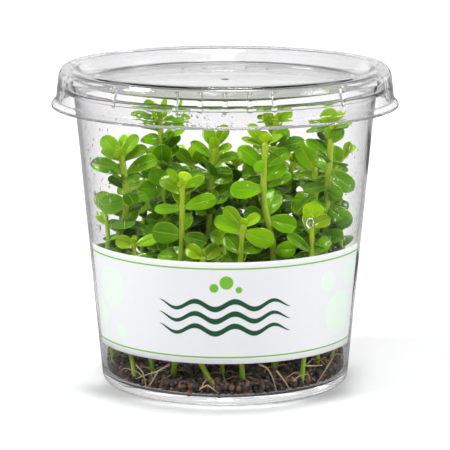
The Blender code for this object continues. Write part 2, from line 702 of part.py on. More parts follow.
def varied(reach):
    """The chosen reach first, then turned, lifted and shortened ones to try in its place."""
    for shrink in LEAF_SHRINKS:
        for lift in LEAF_LIFTS:
            for turn in LEAF_TURNS:
                flat = Vector((reach.x, reach.y, 0))
                axis = Vector((0, 0, 1)).cross(flat)
                raised = Matrix.Rotation(math.radians(-lift), 3, axis.normalized()) @ reach
                yield Matrix.Rotation(math.radians(turn), 3, "Z") @ raised * shrink


def inside_cup(points):
    for point in points:
        radius = math.hypot(point.x, point.y)
        if radius > inner_radius(point.z) - LEAF_MARGIN or point.z > PANEL_Z - LID_WALL - LID_MARGIN:
            return False
        if point.z < SOIL_LEVEL + SOIL_SLOPE * point.y + SOIL_LUMP + GAP:
            return False
    return True


def is_free(name, base, reach, width, facing, obstacles):
    """Whether a leaf keeps clear of the cup, of other shoots and of its own shoot's blades."""
    if not inside_cup(blade_points(base, reach, width, facing, LEAF_GUARD)):
        return False
    tree = blade_tree(base, reach, width, facing, LEAF_GUARD)
    outer = outer_tree(base, reach, width, facing)
    middle = base + reach / 2
    for owner, centre, size, other, other_outer in obstacles:
        if (centre - middle).length > size + reach.length:
            continue
        if owner != name and tree.overlap(other):
            return False
        if owner == name and other_outer and outer.overlap(other_outer):
            return False
    return True


def mesh_tree(mesh):
    shape = bmesh.new()
    shape.from_mesh(mesh)
    bmesh.ops.scale(shape, vec=(1 / MM, 1 / MM, 1 / MM), verts=shape.verts)
    tree = BVHTree.FromBMesh(shape)
    shape.free()
    return tree


def place_leaves(name, route, obstacles):
    """Reach of each leaf that finds room, with its base in the stem."""
    placed = []
    rows = LEAVES[name] if name in LEAVES else paired_leaves(name)
    for z, reach, width, facing in rows:
        base = stem_at_height(route, z)
        for candidate in varied(Vector(reach)):
            scale = candidate.length / Vector(reach).length
            if is_free(name, base, candidate, width * scale, facing, obstacles):
                blade = (base, candidate, width * scale, facing)
                tree = blade_tree(*blade, 0.0)
                obstacles.append((name, base + candidate / 2, candidate.length, tree, outer_tree(*blade)))
                placed.append(blade)
                break
    return placed


def make_shoots(collection, material, soil):
    soil_tree = mesh_tree(soil.data)
    routes = {}
    stems = {}
    obstacles = []
    for name, (radius, _) in STEMS.items():
        route = stand_on(stem_route(name), radius, soil_tree)
        points = [route_point(route, step / STEM_SPANS) for step in range(STEM_SPANS + 1)]
        routes[name] = route
        stems[name] = tube_mesh(name, points, radius, STEM_TIP_TAPER, collection)
        middle = route_point(route, 0.5)
        size = (route[0] - route[-1]).length / 2 + STEM_SWAY
        obstacles.append((name, middle, size, mesh_tree(stems[name]), None))
    for name in STEMS:
        mesh = stems[name]
        for blade in place_leaves(name, routes[name], obstacles):
            mesh = fuse(mesh, blade_mesh(*blade), collection)
        mesh.shade_smooth()
        mesh.set_sharp_from_angle(angle=math.radians(PLANT_SHARP_ANGLE))
        add_object(name, mesh, collection, material)


def main():
    clear_scene()
    collection = new_collection(COLLECTION)
    clear = principled("clear_plastic", (0.95, 0.96, 0.97), 0.05, transmission=0.95)
    film = principled("label_film", (0.82, 0.83, 0.84), 0.4)
    pellets = principled("soil_pellets", (0.035, 0.022, 0.015), 0.85)
    green = principled("bacopa_green", (0.10, 0.34, 0.02), 0.3)
    make_cup(collection, clear)
    make_lid(collection, clear)
    make_label(collection, film)
    soil = make_soil(collection, pellets)
    make_shoots(collection, green, soil)


main()
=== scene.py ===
"""Looks of lemon bacopa in a clear, lidded culture cup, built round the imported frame.

The cup stands on its foot at z = 0 with its axis on z, and the label faces -y.
Sizes are in millimetres, as in part.py, and are turned into metres by MM.
Only the studio (camera, lamps, floor) and the shaders' noise and bumps are given in metres.
"""
import math
import random

import bmesh
import bpy
import numpy as np
from mathutils import Matrix, Vector, kdtree, noise


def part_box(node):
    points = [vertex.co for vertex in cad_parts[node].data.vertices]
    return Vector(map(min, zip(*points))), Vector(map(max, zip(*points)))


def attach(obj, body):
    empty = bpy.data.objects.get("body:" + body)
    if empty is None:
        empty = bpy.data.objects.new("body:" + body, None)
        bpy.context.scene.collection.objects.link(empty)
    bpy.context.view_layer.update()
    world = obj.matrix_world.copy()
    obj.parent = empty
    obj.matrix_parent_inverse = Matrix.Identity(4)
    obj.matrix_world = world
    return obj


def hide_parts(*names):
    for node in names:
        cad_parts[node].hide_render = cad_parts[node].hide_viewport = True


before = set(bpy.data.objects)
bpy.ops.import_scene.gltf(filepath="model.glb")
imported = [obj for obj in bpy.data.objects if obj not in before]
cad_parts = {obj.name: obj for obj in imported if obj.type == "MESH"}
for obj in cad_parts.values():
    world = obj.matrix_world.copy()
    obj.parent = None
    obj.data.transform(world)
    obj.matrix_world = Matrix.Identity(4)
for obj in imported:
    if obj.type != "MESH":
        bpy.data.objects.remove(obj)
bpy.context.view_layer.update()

MM = 0.001
FRONT = -math.pi / 2
NOISE_RANGE = 50
SOIL_SEED = 11
PLANT_SEED = 7
ROOT_SEED = 23
DROP_SEED = 5

# Turned shapes: steps round the axis, and how each corner is eased
ROUND_STEPS = 144
CORNER_STEPS = 5
CORNER_GUARD = 0.12
CORNER_SHARE = 0.47
GUARD_SHARE = 0.02
CUP_STRETCH = 3.0
LID_STRETCH = 2.0

# Cup, with the sizes of the frame
WALL = 0.9
FLOOR_TOP = 1.8
FLOOR_UNDERSIDE = 0.7
FOOT_INNER_RADIUS = 23.8
FOOT_CORNER = 1.2
BODY_LOW = (27.65, 5.0)
BODY_HIGH = (32.77, 61.7)
FLANGE_RADIUS = 35.0
RIM_Z = 65.4
FLOOR_ROUNDING = 1.6
RIM_ROUNDING = 0.35
FLANGE_ROUNDING = 0.25
NECK_ROUNDING = 0.5
BASE_ROUNDING = 1.5
FOOT_ROUNDING = 0.3
WALL_WOBBLE = 0.05
WOBBLE_ROUND = 2.4
WOBBLE_HEIGHT = 16
WOBBLE_OUTSIDE = 7

# Lid
PANEL_Z = 66.6
PANEL_RADIUS = 27.8
LID_WALL = 0.8
RING_INNER_RADIUS = 32.4
RING_OUTER_RADIUS = 35.32
LID_TOP = 69.74
SHOULDER = (36.26, 68.17)
SKIRT_LOW = (36.9, 62.8)
LIP_RADIUS = 37.93
LIP_Z = 61.7
LIP_WALL = 0.5
FLARE_INSET = 0.18
PANEL_ROUNDING = 0.9
RING_INNER_ROUNDING = 1.4
RING_OUTER_ROUNDING = 0.7
SHOULDER_ROUNDING = 0.5
SKIRT_ROUNDING = 0.35
LIP_ROUNDING = 0.3
LIP_EDGE_ROUNDING = 0.18
HOLLOW_SHOULDER_ROUNDING = 0.4
HOLLOW_RING_ROUNDING = 0.5
HOLLOW_PANEL_ROUNDING = 0.8

# Moulding nub in the middle of the panel
NUB_RADIUS = 0.9
NUB_TOP_SHARE = 0.7
NUB_HEIGHT = 0.16
NUB_ROUNDING = 0.3

# Stop ribs inside the lid's ring: angles in degrees
RIB_PITCH = 8.2
RIB_ANGLES = [side + step * RIB_PITCH for side in (0, 90, 180, 270) for step in (-2, -1, 0, 1, 2)]
SINGLE_RIB_ANGLES = [230, 313]
RIB_HALF_ANGLE = 0.75
RIB_STEPS = (-1.5, -1.15, -0.75, -0.35, 0, 0.35, 0.75, 1.15, 1.5)
RIB_CLEARING = 2
RIB_FOOT = 1.45
RIB_CROWN = 1.5
RIB_DEPTH = 0.4
RIB_RING_INSET = 0.3
RIB_LOW = 65.75
RIB_TOP = 68.3

# Label
LABEL_LOW = 9.67
LABEL_HIGH = 32.02
LABEL_HALF_ANGLE = 72
LABEL_CLEARANCE = 0.1
LABEL_THICKNESS = 0.14
LABEL_COLUMNS = 96
LABEL_ROWS = 14

# Print on the label. Places are along the film from its middle and up from the foot, then a bubble's radius
WAVE_HEIGHTS = (22.6, 19.9, 17.2)
WAVE_LENGTH = 8.4
WAVE_RISE = 0.85
WAVE_HALF_SPAN = 14.5
WAVE_HALF_LINE = 0.62
WAVE_POINT = 0.1
BUBBLES = [((-2.3, 26.4), 0.95), ((0.3, 27.6), 1.45), ((2.9, 26.0), 0.7)]
END_BUBBLES = [((-28.5, 24.0), 4.6), ((-33.0, 17.0), 2.8), ((-25.0, 14.2), 1.9),
               ((29.0, 18.0), 4.9), ((24.6, 25.8), 2.3), ((33.2, 26.4), 3.0)]
RULE_HEIGHTS = (11.1, 30.6)
RULE_HALF = 0.16
INK_SOFT = 0.12

# Soil
SOIL_LEVEL = 6.3
SOIL_SLOPE = 0.085
SOIL_LUMP = 0.45
SOIL_LUMP_SIZE = 2.6

# Grains: a surface layer has a depth, a shift and a spacing, and one along the wall an inset and a spacing
# A spacing is in units of GRAIN_PITCH.
GRAIN_PITCH = 1.34
GRAIN_SMALL = 0.5
GRAIN_LARGE = 0.86
GRAIN_SHAPES = 14
GRAIN_ROUGHNESS = 1.3
GRAIN_LUMP = 0.16
GRAIN_STRETCHES = (0.9, 1.06)
GRAIN_JITTER = 0.3
GRAIN_SWING = 0.22
GRAIN_GAP = 0.1
ROW_PITCH = 0.866
SURFACE_LAYERS = ((0.35, 0.0, 1.0), (1.5, 0.8, 1.5))
SURFACE_INSET = 1.0
SURFACE_GAP = 0.12
WALL_LAYERS = ((0.0, 1.0), (1.2, 1.4))
WALL_FIRST_LEVEL = 0.75
WALL_LEVEL_PITCH = 0.84
WALL_DEPTH = 0.35
WALL_COVER = 0.2
CORNER_INSET = 0.3
FLOOR_LAYER_INSET = 3.2
FLOOR_LAYER_PITCH = 1.3

# Dark heart of the bed: painted shade that shows in the gaps between the grains
CORE_STEPS = 48
CORE_FOOT_Z = FLOOR_TOP + 1.0
CORE_FOOT_INSET = 3.2
CORE_TOP_Z = SOIL_LEVEL - 2.2
CORE_TOP_INSET = 2.6
CORE_PAINTED_SHADE = 0.05

# Stems
STEM_TIP_TAPER = 0.85
STEM_SIDES = 12
STEM_RINGS = 56
STEM_SUNK = 1.4
STEM_TANGENT = 0.01
STEM_END_SIZES = (0.7, 0.3)
STEM_LUMP = 0.05
STEM_LUMP_LENGTH = 3
STEM_YOUNG_FROM = 8
STEM_YOUTH_POWER = 1.5
NODE_SWELL = 0.2
NODE_SWELL_MOST = 1.3
NODE_REACH = 0.8
HALVINGS = 24

# Leaf blades
LEAF_ARCH = 0.07
LEAF_THICKNESS = 0.42
LEAF_LENGTHS = 11
LEAF_FIRST_ROW = 0.35
LEAF_TIP_POWER = 2.25
LEAF_FOOT_NARROW = 1.12
LEAF_FOOT_ROUNDING = 0.68
LEAF_BREADTHS = (-1, -0.91, -0.68, -0.38, -0.1, 0, 0.1, 0.38, 0.68, 0.91, 1)
LEAF_WIDTH_CHECKS = 40
LEAF_CUPPINGS = (-0.05, 0.16)
LEAF_DROOPS = (-0.02, 0.05)
LEAF_TWIST = 0.25
LEAF_RIPPLE = 0.09
RIPPLE_ACROSS = 1.6
RIPPLE_ALONG = 4.0
GROOVE_DEPTH = 0.13
GROOVE_HALF = 0.12
GROOVE_LENGTH = 1.1
KEEL_DEPTH = 0.16
KEEL_HALF = 0.16
LEAF_END_THICKNESS = 0.55
LEAF_UNDER_SHARE = 0.8
YOUTH_DEPTH = 7
GROWN_LENGTH = 5.6
GROWING_SPAN = 2.6
LEAST_YOUTH = 0.25

# How the leaves are found again in the frame, whose own may be turned, lifted or shortened
LEAF_TURNS = (0, 9, -9, 18, -18, 30, -30, 45, -45, 60, -60)
LEAF_LIFTS = (0, 12, -12, 24)
LEAF_SHRINKS = (1.0, 0.86, 0.72)
TIP_MATCH = 0.25
LID_MARGIN = 0.5
SOIL_MARGIN = 1.0

# Each shoot: stem radius, then the stem's route from its foot on the soil to its tip (x, y, z)
STEMS = {
    "shoot_left": (0.66, [(-23.6, -4, 6), (-24.6, -8, 27), (-21.5, -9, 38), (-21.6, -8.5, 46),
                          (-22.6, -8, 52)]),
    "shoot_left_thin": (0.48, [(-24.3, -7.5, 6), (-25.3, -11, 24), (-25.2, -10, 34), (-26.2, -8, 39.5)]),
    "shoot_tall_left": (0.62, [(-11.5, -1, 6), (-12.4, 1, 28), (-13.4, 2, 42), (-14.4, 3, 59.5)]),
    "shoot_front_left": (0.6, [(-11, -18, 5), (-9.4, -17.5, 28), (-9.2, -17, 38), (-9.0, -17, 46.6)]),
    "shoot_centre": (0.6, [(-4.2, -2, 6), (-3.7, 0, 30), (-3.1, 0, 42), (-1.9, 0, 52.6)]),
    "shoot_centre_dark": (0.52, [(-8, 7, 7), (-8.3, 8, 30), (-7.8, 8, 40), (-7.2, 8, 47)]),
    "shoot_front_right": (0.68, [(10.6, -14, 5), (10.4, -13, 31), (8.4, -12, 42), (8.6, -11.5, 55)]),
    "shoot_tall_centre": (0.6, [(8.2, 3, 6), (8.6, 4, 30), (10.2, 4, 47), (11.4, 4, 57.4)]),
    "shoot_tall_right": (0.68, [(20, -10, 5.5), (21.4, -9, 28), (22.1, -8, 42), (23.2, -7.5, 58.6)]),
    "shoot_right_broad": (0.6, [(18.6, 0, 6), (19.4, 1.5, 30), (20.2, 2, 40), (20.0, 2.5, 46.8)]),
    "shoot_right_side": (0.52, [(21.5, 6, 7), (21.8, 7, 30), (23.2, 6, 43), (27.2, 5, 49.4)]),
    "shoot_front_short": (0.58, [(3.8, -21.5, 4.5), (2.9, -20, 18), (3.3, -20, 32), (3.9, -20, 38.4)]),
    "shoot_round_leaf": (0.52, [(16.4, -19.5, 5), (18.2, -17, 22), (18.5, -15.5, 31), (18.6, -15, 38.4)]),
    "shoot_low_left": (0.5, [(-15.5, -16.5, 5), (-17.6, -17.5, 18), (-19, -17, 28), (-19.4, -16, 33.5)]),
    "shoot_low_centre": (0.6, [(-3.2, -22.8, 4.5), (-5.6, -20.5, 10), (-6, -20, 20), (-4.6, -20, 31.5)]),
    "shoot_low_mid": (0.54, [(-0.6, -18.5, 5), (-0.6, -16, 20), (-0.2, -13, 34)]),
    "sprout_left": (0.48, [(-19.4, -16.8, 5), (-20.4, -15.2, 10), (-21.2, -14.2, 15)]),
    "sprout_right": (0.46, [(23.3, -7, 6), (25.2, -4.4, 20), (25.4, -2.6, 34.5)]),
    "shoot_back_centre": (0.55, [(2.8, 10, 7), (2.4, 10, 32), (2.1, 10, 47)]),
    "shoot_back_left": (0.55, [(-18, 8, 7), (-18.6, 10, 28), (-17.2, 10, 43.5)]),
    "shoot_back_right": (0.55, [(13, 12, 7), (13.8, 12, 32), (15.2, 12, 46.5)]),
    "shoot_rear_left": (0.55, [(-11, 17, 8), (-12, 18, 30), (-11.6, 18.5, 47)]),
    "shoot_rear_centre": (0.58, [(-2, 19, 8), (-2.6, 20, 30), (-3.2, 20, 50)]),
    "shoot_rear_right": (0.55, [(7.4, 19, 8), (8, 20, 28), (8.2, 19.6, 45)]),
    "shoot_side_right": (0.52, [(18.6, 13.4, 8), (20.4, 14, 26), (21, 13.6, 40)]),
}

# Leaves seen on the front shoots: height of the base on the stem, reach from base to tip (x, y, z),
# blade width, and how far the face turns from looking up (0) to looking forward (1)
LEAVES = {
    "shoot_left": [
        (50.4, (-4.1, 1.6, 4.6), 3.5, 0.8),
        (50.8, (3.5, 1.2, 4.5), 3.0, 0.6),
        (51.3, (0.6, 3.0, 4.0), 2.4, 0.5),
        (50.9, (-0.5, -2.4, 2.2), 3.0, 0.9),
        (46.9, (-6.9, -1.0, 3.0), 3.9, 0.5),
        (46.9, (7.0, 0.8, 3.7), 3.7, 0.5),
        (40.9, (-5.6, -2.4, 0.0), 4.7, 0.8),
        (41.2, (4.4, 4.4, 0.8), 3.4, 0.5),
        (34.4, (3.2, 2.2, 5.4), 4.0, 0.7),
        (34.8, (-2.2, -4.6, 1.6), 3.2, 0.6),
    ],
    "shoot_left_thin": [
        (39.0, (-0.6, 0.6, 4.2), 4.0, 0.9),
        (38.6, (2.6, 3.4, 0.8), 2.8, 0.6),
        (36.0, (-2.4, 1.6, 2.4), 2.6, 0.6),
        (33.0, (0.8, -4.2, 1.0), 3.0, 0.5),
    ],
    "shoot_tall_left": [
        (58.4, (-3.4, 0.8, 3.0), 2.4, 0.7),
        (58.9, (2.4, 1.4, 3.0), 2.4, 0.7),
        (57.2, (-1.2, -1.8, 2.6), 2.4, 0.9),
        (57.6, (1.7, -1.2, 2.8), 2.2, 0.9),
        (56.6, (-6.6, 0.4, 2.2), 3.0, 0.4),
        (56.4, (6.6, -0.6, 1.6), 2.8, 0.4),
        (54.6, (-4.6, 2.6, 1.2), 2.6, 0.3),
        (53.4, (5.4, -2.0, 2.4), 3.1, 0.5),
        (52.6, (-3.9, -2.0, 0.6), 2.5, 0.6),
        (47.6, (-0.2, -2.4, 4.6), 4.5, 0.95),
        (48.4, (3.3, 2.6, 2.8), 3.0, 0.5),
        (47.0, (4.4, -1.6, -1.4), 3.6, 0.7),
        (43.0, (-2.6, -1.4, 3.8), 4.0, 0.9),
        (41.6, (-5.6, 0.6, 0.4), 3.7, 0.8),
        (41.2, (4.0, 3.0, 0.4), 3.4, 0.6),
        (34.4, (-4.4, -3.4, 1.4), 3.8, 0.6),
        (34.0, (4.2, -2.6, 1.8), 3.6, 0.7),
    ],
    "shoot_front_left": [
        (45.8, (-3.3, -0.6, 3.9), 2.0, 0.5),
        (45.4, (4.8, 0.6, 2.0), 2.6, 0.5),
        (46.2, (0.9, 1.9, 2.6), 3.2, 0.8),
        (46.0, (-0.3, -1.6, 1.6), 2.2, 0.8),
        (41.0, (-5.8, -1.2, 0.1), 2.6, 0.6),
        (41.2, (7.2, -0.8, 2.3), 3.5, 0.75),
        (41.8, (-0.2, 2.2, 3.4), 3.8, 0.9),
        (35.4, (-6.2, -1.8, 1.2), 4.9, 0.9),
        (35.2, (5.4, -1.2, -1.2), 3.2, 0.7),
        (36.0, (1.5, 2.0, 3.6), 3.0, 0.8),
        (29.8, (6.2, -1.6, 1.2), 3.8, 0.8),
        (29.6, (-5.0, 0.8, 1.4), 3.6, 0.6),
    ],
    "shoot_centre": [
        (51.4, (-2.3, 0.6, 4.4), 3.0, 0.8),
        (51.8, (2.4, 0.9, 4.4), 2.8, 0.7),
        (51.0, (-0.3, -1.9, 3.0), 2.4, 0.9),
        (50.2, (3.8, -0.4, 1.8), 2.6, 0.4),
        (48.8, (-5.2, 0.8, 3.7), 2.7, 0.4),
        (48.2, (5.4, 0.4, 1.6), 2.9, 0.4),
        (44.0, (4.6, -1.6, 1.8), 3.2, 0.7),
        (43.4, (-4.8, -1.4, 0.8), 3.4, 0.8),
        (38.2, (1.2, -4.8, 1.8), 3.6, 0.5),
        (37.6, (-3.4, -3.4, 1.2), 3.6, 0.7),
        (33.0, (4.4, -2.6, 1.4), 3.6, 0.6),
    ],
    "shoot_centre_dark": [
        (46.2, (-3.2, -0.8, 3.8), 3.0, 0.8),
        (46.4, (2.8, -0.6, 3.6), 2.8, 0.8),
        (46.8, (0.2, 1.4, 3.6), 2.6, 0.6),
        (42.2, (3.2, -3.6, 1.2), 3.4, 0.7),
        (42.0, (-3.6, 3.2, 1.2), 3.2, 0.5),
        (36.0, (-3.8, -3.6, 0.8), 3.4, 0.7),
        (35.6, (3.4, 3.6, 0.8), 3.4, 0.5),
    ],
    "shoot_front_right": [
        (54.0, (-3.5, 0.8, 4.2), 2.8, 0.6),
        (53.4, (-5.0, 0.2, 1.9), 2.4, 0.3),
        (53.8, (3.7, -0.6, 2.4), 2.4, 0.35),
        (54.4, (0.3, -1.4, 2.4), 1.9, 0.8),
        (48.8, (-5.4, 0.6, 4.8), 3.9, 0.6),
        (49.2, (5.4, 0.4, 3.5), 3.4, 0.6),
        (48.2, (-1.8, -3.2, 2.4), 2.8, 0.8),
        (46.2, (4.8, 1.6, 4.0), 4.0, 0.7),
        (44.4, (-7.4, -1.8, 0.2), 4.1, 0.85),
        (44.6, (5.9, -0.6, 3.1), 2.9, 0.5),
        (38.6, (1.8, 2.4, 5.4), 4.5, 0.9),
        (38.0, (6.2, -1.4, -1.5), 4.2, 0.85),
        (37.6, (-5.2, 1.4, 1.6), 3.6, 0.7),
        (31.2, (4.6, -3.4, 0.8), 3.6, 0.7),
    ],
    "shoot_tall_centre": [
        (56.2, (-2.2, 0.4, 3.2), 3.1, 0.9),
        (56.4, (3.3, 0.2, 3.1), 2.9, 0.9),
        (56.0, (0.5, 2.4, 3.0), 2.4, 0.6),
        (52.4, (3.3, -1.6, 2.6), 3.0, 0.7),
        (52.0, (-3.6, 1.8, 1.8), 2.8, 0.5),
        (48.6, (4.6, 0.6, 2.9), 2.9, 0.5),
        (43.4, (5.4, -0.4, 1.2), 3.6, 0.7),
        (43.0, (-4.2, 2.6, 1.6), 3.4, 0.6),
        (36.6, (3.0, 4.0, 1.0), 3.6, 0.5),
    ],
    "shoot_tall_right": [
        (57.8, (-1.7, -0.8, 3.6), 4.1, 0.95),
        (58.0, (2.4, 0.6, 2.7), 2.0, 0.6),
        (57.4, (-5.1, 0.8, 1.2), 2.1, 0.5),
        (57.2, (4.2, 0.8, 0.8), 2.1, 0.4),
        (54.6, (-1.6, -2.2, 2.6), 2.2, 0.6),
        (53.8, (2.5, -1.6, 3.2), 2.6, 0.7),
        (51.4, (-5.6, 0.6, 2.8), 3.1, 0.5),
        (47.8, (4.8, -3.0, -3.8), 4.0, 0.85),
        (47.4, (-1.2, 4.4, 1.6), 3.4, 0.5),
        (41.4, (2.8, -3.0, 2.8), 3.2, 0.7),
        (40.2, (4.7, -2.6, -4.0), 4.3, 0.85),
        (39.8, (-3.4, -4.0, 0.6), 3.6, 0.7),
        (33.6, (3.6, -4.2, 0.2), 3.6, 0.7),
    ],
    "shoot_right_broad": [
        (45.6, (-3.7, -0.8, 6.8), 5.0, 0.85),
        (46.2, (-1.4, 1.4, 6.4), 3.6, 0.8),
        (45.2, (-5.0, 1.2, 4.4), 2.6, 0.5),
        (44.8, (2.6, 2.8, 2.4), 3.0, 0.6),
        (38.8, (-4.8, -1.8, 1.2), 3.8, 0.7),
        (38.4, (4.2, -1.4, 1.0), 3.4, 0.6),
        (32.2, (-4.4, 2.4, 1.2), 3.6, 0.7),
    ],
    "shoot_right_side": [
        (48.8, (0.8, -1.6, 3.4), 2.0, 0.7),
        (49.0, (1.9, 2.8, 1.6), 2.2, 0.5),
        (46.2, (-0.2, -1.8, 5.0), 3.6, 0.85),
        (42.6, (4.6, -1.8, 0.6), 3.6, 0.8),
        (42.2, (-3.0, 4.0, 1.2), 3.4, 0.5),
        (36.4, (5.0, 0.8, -0.8), 3.8, 0.7),
        (35.8, (-1.4, 5.0, 0.6), 3.4, 0.5),
    ],
    "shoot_front_short": [
        (37.6, (-3.9, -0.6, 4.4), 3.0, 0.7),
        (37.8, (3.6, -0.4, 2.5), 2.6, 0.6),
        (38.0, (0.2, -1.3, 1.7), 1.8, 0.8),
        (36.2, (-5.8, 0.6, 3.2), 3.3, 0.7),
        (36.6, (6.6, -1.2, -1.9), 4.4, 0.9),
        (32.0, (-3.4, 0.4, 4.2), 3.7, 0.85),
        (32.4, (4.7, 0.2, 2.0), 3.6, 0.8),
        (27.0, (2.2, -2.4, 0.6), 3.0, 0.7),
    ],
    "shoot_round_leaf": [
        (37.8, (0.3, 0.8, 4.2), 4.4, 0.9),
        (37.2, (3.8, -1.0, 1.6), 3.0, 0.7),
        (31.2, (-5.3, -0.6, 4.1), 2.5, 0.7),
        (30.6, (3.8, 0.6, 3.6), 3.0, 0.7),
    ],
    "shoot_low_left": [
        (32.8, (5.2, -0.4, 2.0), 2.8, 0.6),
        (33.0, (-3.8, -0.8, 1.2), 3.0, 0.7),
        (28.0, (-2.4, -4.4, 1.0), 3.2, 0.6),
        (28.4, (3.4, 3.4, 1.4), 3.4, 0.6),
    ],
    "shoot_low_centre": [
        (31.0, (-3.6, 0.4, 2.2), 3.2, 0.7),
        (30.6, (3.0, 2.2, 2.6), 3.2, 0.8),
        (8.4, (-3.0, 2.2, 2.8), 2.8, 0.6),
    ],
    "shoot_low_mid": [
        (33.2, (-2.8, -2.8, 2.0), 3.2, 0.7),
        (33.4, (3.0, 2.4, 2.2), 3.4, 0.7),
        (29.4, (3.4, -2.4, 0.8), 3.2, 0.7),
        (28.8, (-3.2, 2.6, 0.8), 3.2, 0.6),
    ],
    "sprout_left": [
        (10.4, (-1.6, -2.2, 1.4), 1.8, 0.6),
        (10.0, (2.6, -0.8, 1.2), 1.8, 0.6),
        (14.2, (2.6, 1.8, 1.8), 2.2, 0.6),
        (14.4, (-1.2, 2.2, 2.0), 2.2, 0.6),
    ],
    "sprout_right": [
        (34.0, (-1.6, -2.6, 3.2), 3.0, 0.8),
        (33.6, (1.4, 2.6, 3.0), 3.0, 0.8),
        (27.6, (0.4, -4.6, 1.4), 3.4, 0.8),
        (27.0, (-3.0, 3.2, 1.4), 3.2, 0.6),
    ],
}

# Back shoots grow by the plant's rule: crossed pairs of leaves up the stem.
# Values: number of pairs, compass turn of the lowest pair in degrees, leaf length
PAIRED = {
    "shoot_back_centre": (4, 20, 5.2),
    "shoot_back_left": (4, 70, 5.4),
    "shoot_back_right": (4, 35, 5.4),
    "shoot_rear_left": (5, 10, 5.6),
    "shoot_rear_centre": (5, 55, 5.6),
    "shoot_rear_right": (4, 25, 5.6),
    "shoot_side_right": (4, 80, 5.2),
}
PAIR_LOWEST_SHARE = 0.46
PAIR_TURN = 98
PAIR_PITCH_LOW = 8
PAIR_PITCH_HIGH = 48
PAIR_WIDTH_SHARE = 0.58
PAIR_TOP_LENGTH_SHARE = 0.72
PAIR_TOP_DROP = 1.0
PAIR_STAGGER = 0.45
PAIR_FACING = 0.35
BUD_REACH = (0.3, -0.4, 2.6)
BUD_RISE = 0.4
BUD_WIDTH = 1.508
BUD_FACING = 0.6

# Young leaves at the tip of each shoot: length and pitch of each pair
TIP_PAIRS = [(2.2, 58), (1.3, 72)]
TIP_DROP = 0.5
TIP_WIDTH_SHARE = 0.5
TIP_LEAN = 6
TIP_SIZES = (0.88, 1.1)
TIP_FACING = 0.75

# Extra leaves up the stems, where the foliage is dense: rough pairs in the gaps between the others.
# A shoot of the front row gets those that reach back, so that its stem stays in view.
FILL_LOW = 13.0
FILL_HIGH_DROP = 2.0
FILL_SPACING = 1.25
FILL_GAPS = (0.5, 1.5)
FILL_CLEAR = 0.6
FILL_TURNS = (75, 105)
FILL_SWING = 26
FILL_PITCHES = (-34, 46)
FILL_LENGTHS = (4.2, 7.8)
FILL_WIDTH_SHARE = 0.68
FILL_WIDTHS = (0.85, 1.15)
FILL_FACING = 0.35
FILL_STAGGER = 0.36
FILL_SKIP = 0.12
# Share that darkens the extra leaves: painted shade for the leaves deep in the dense foliage
FILL_PAINTED_SHADE = 0.15
FILL_FRONT_ROW = -12.0
FILL_BACKWARD = 0.15
FILL_TIP_SHARE = 1.06
FILL_TIP_MARGIN = 0.8
FILL_MIDDLE_SHARE = 0.6
FILL_MIDDLE_MARGIN = 2.0

# Drops of condensed water on the inside of the wall: count, compass range from the front, height range, sizes
DROP_FIELDS = [
    (150, -80, -52, 26, 59, 0.1, 0.34),
    (90, 48, 84, 26, 55, 0.1, 0.34),
    (60, -35, 10, 60.5, 64.5, 0.12, 0.36),
    (70, -52, 48, 33, 62, 0.08, 0.24),
    (170, 90, 270, 20, 62, 0.1, 0.36),
]
LARGE_DROPS = [(36.5, 39.3, 1.0, 1.15), (-66, 43.1, 0.75, 1.5), (-64, 36, 0.6, 1.4), (-17, 63.2, 0.6, 0.8)]
DROP_SIDES = 12
DROP_LEVELS = (0.3, 0.62, 0.88, 1.0)
DROP_HEIGHT_SHARE = 0.42
DROP_GAP = 0.03
DROP_SIZE_POWER = 2.2
DROP_TALLS = (0.9, 1.35)

# Roots that show against the wall: the points of each, as an angle from the front in degrees and a height
FRONT_ROOTS = [
    [(-26, 8.6), (-32, 6.8), (-38, 5.6), (-46, 4.0)],
    [(-32, 6.8), (-34, 5.4), (-36, 4.0), (-39.5, 2.4)],
    [(-45, 7.2), (-42, 6.2), (-40.5, 5.0), (-39.5, 2.6)],
    [(15.5, 9.0), (19, 8.2), (22, 6.0), (24.5, 2.6)],
    [(24, 7.2), (28, 5.0), (31.5, 2.6)],
    [(59, 7.4), (54, 5.4), (48, 2.8)],
    [(40, 7.4), (45, 7.0), (51, 6.6)],
    [(-8, 4.6), (-5.5, 3.8), (-3, 2.8)],
    [(-8, 4.6), (-10.5, 4.0), (-12, 3.4)],
]
FRONT_ROOT_INSET = 0.28
FRONT_ROOT_SHARE = 1.25
ROOT_RADIUS = 0.17
ROOT_SIZES = (0.7, 1.1)
ROOT_TAPER = 0.6
ROOT_SIDES = 6
ROOT_RINGS_PER_SPAN = 5
ROOT_TANGENT = 0.02
ROOT_GUIDE = (0.1, 0.2, 1)
ROOT_LUMP = 0.3
ROOT_LUMP_SCALE = 0.9

# Roots over the soil, from the foot of each stem: turns are in radians
ROOTS_PER_STEM = 4
ROOT_FAN = 0.3
ROOT_SPANS = 4
ROOT_SWERVE = 0.6
ROOT_SPAN_LENGTHS = (0.9, 1.6)
ROOT_WALL_MARGIN = 0.6
ROOT_LIFT = 0.75
ROOT_DIP = 0.35
ROOT_HEIGHTS = (-0.1, 0.15)

# Plastic: roughness, strength of the flow marks and sheen
CUP_PLASTIC = (0.0, 0.025, 0.14)
LID_PLASTIC = (0.02, 0.04, 0.4)
PLASTIC_CLEAR = (0.965, 0.97, 0.972)
WATER_CLEAR = (0.98, 0.98, 0.98)

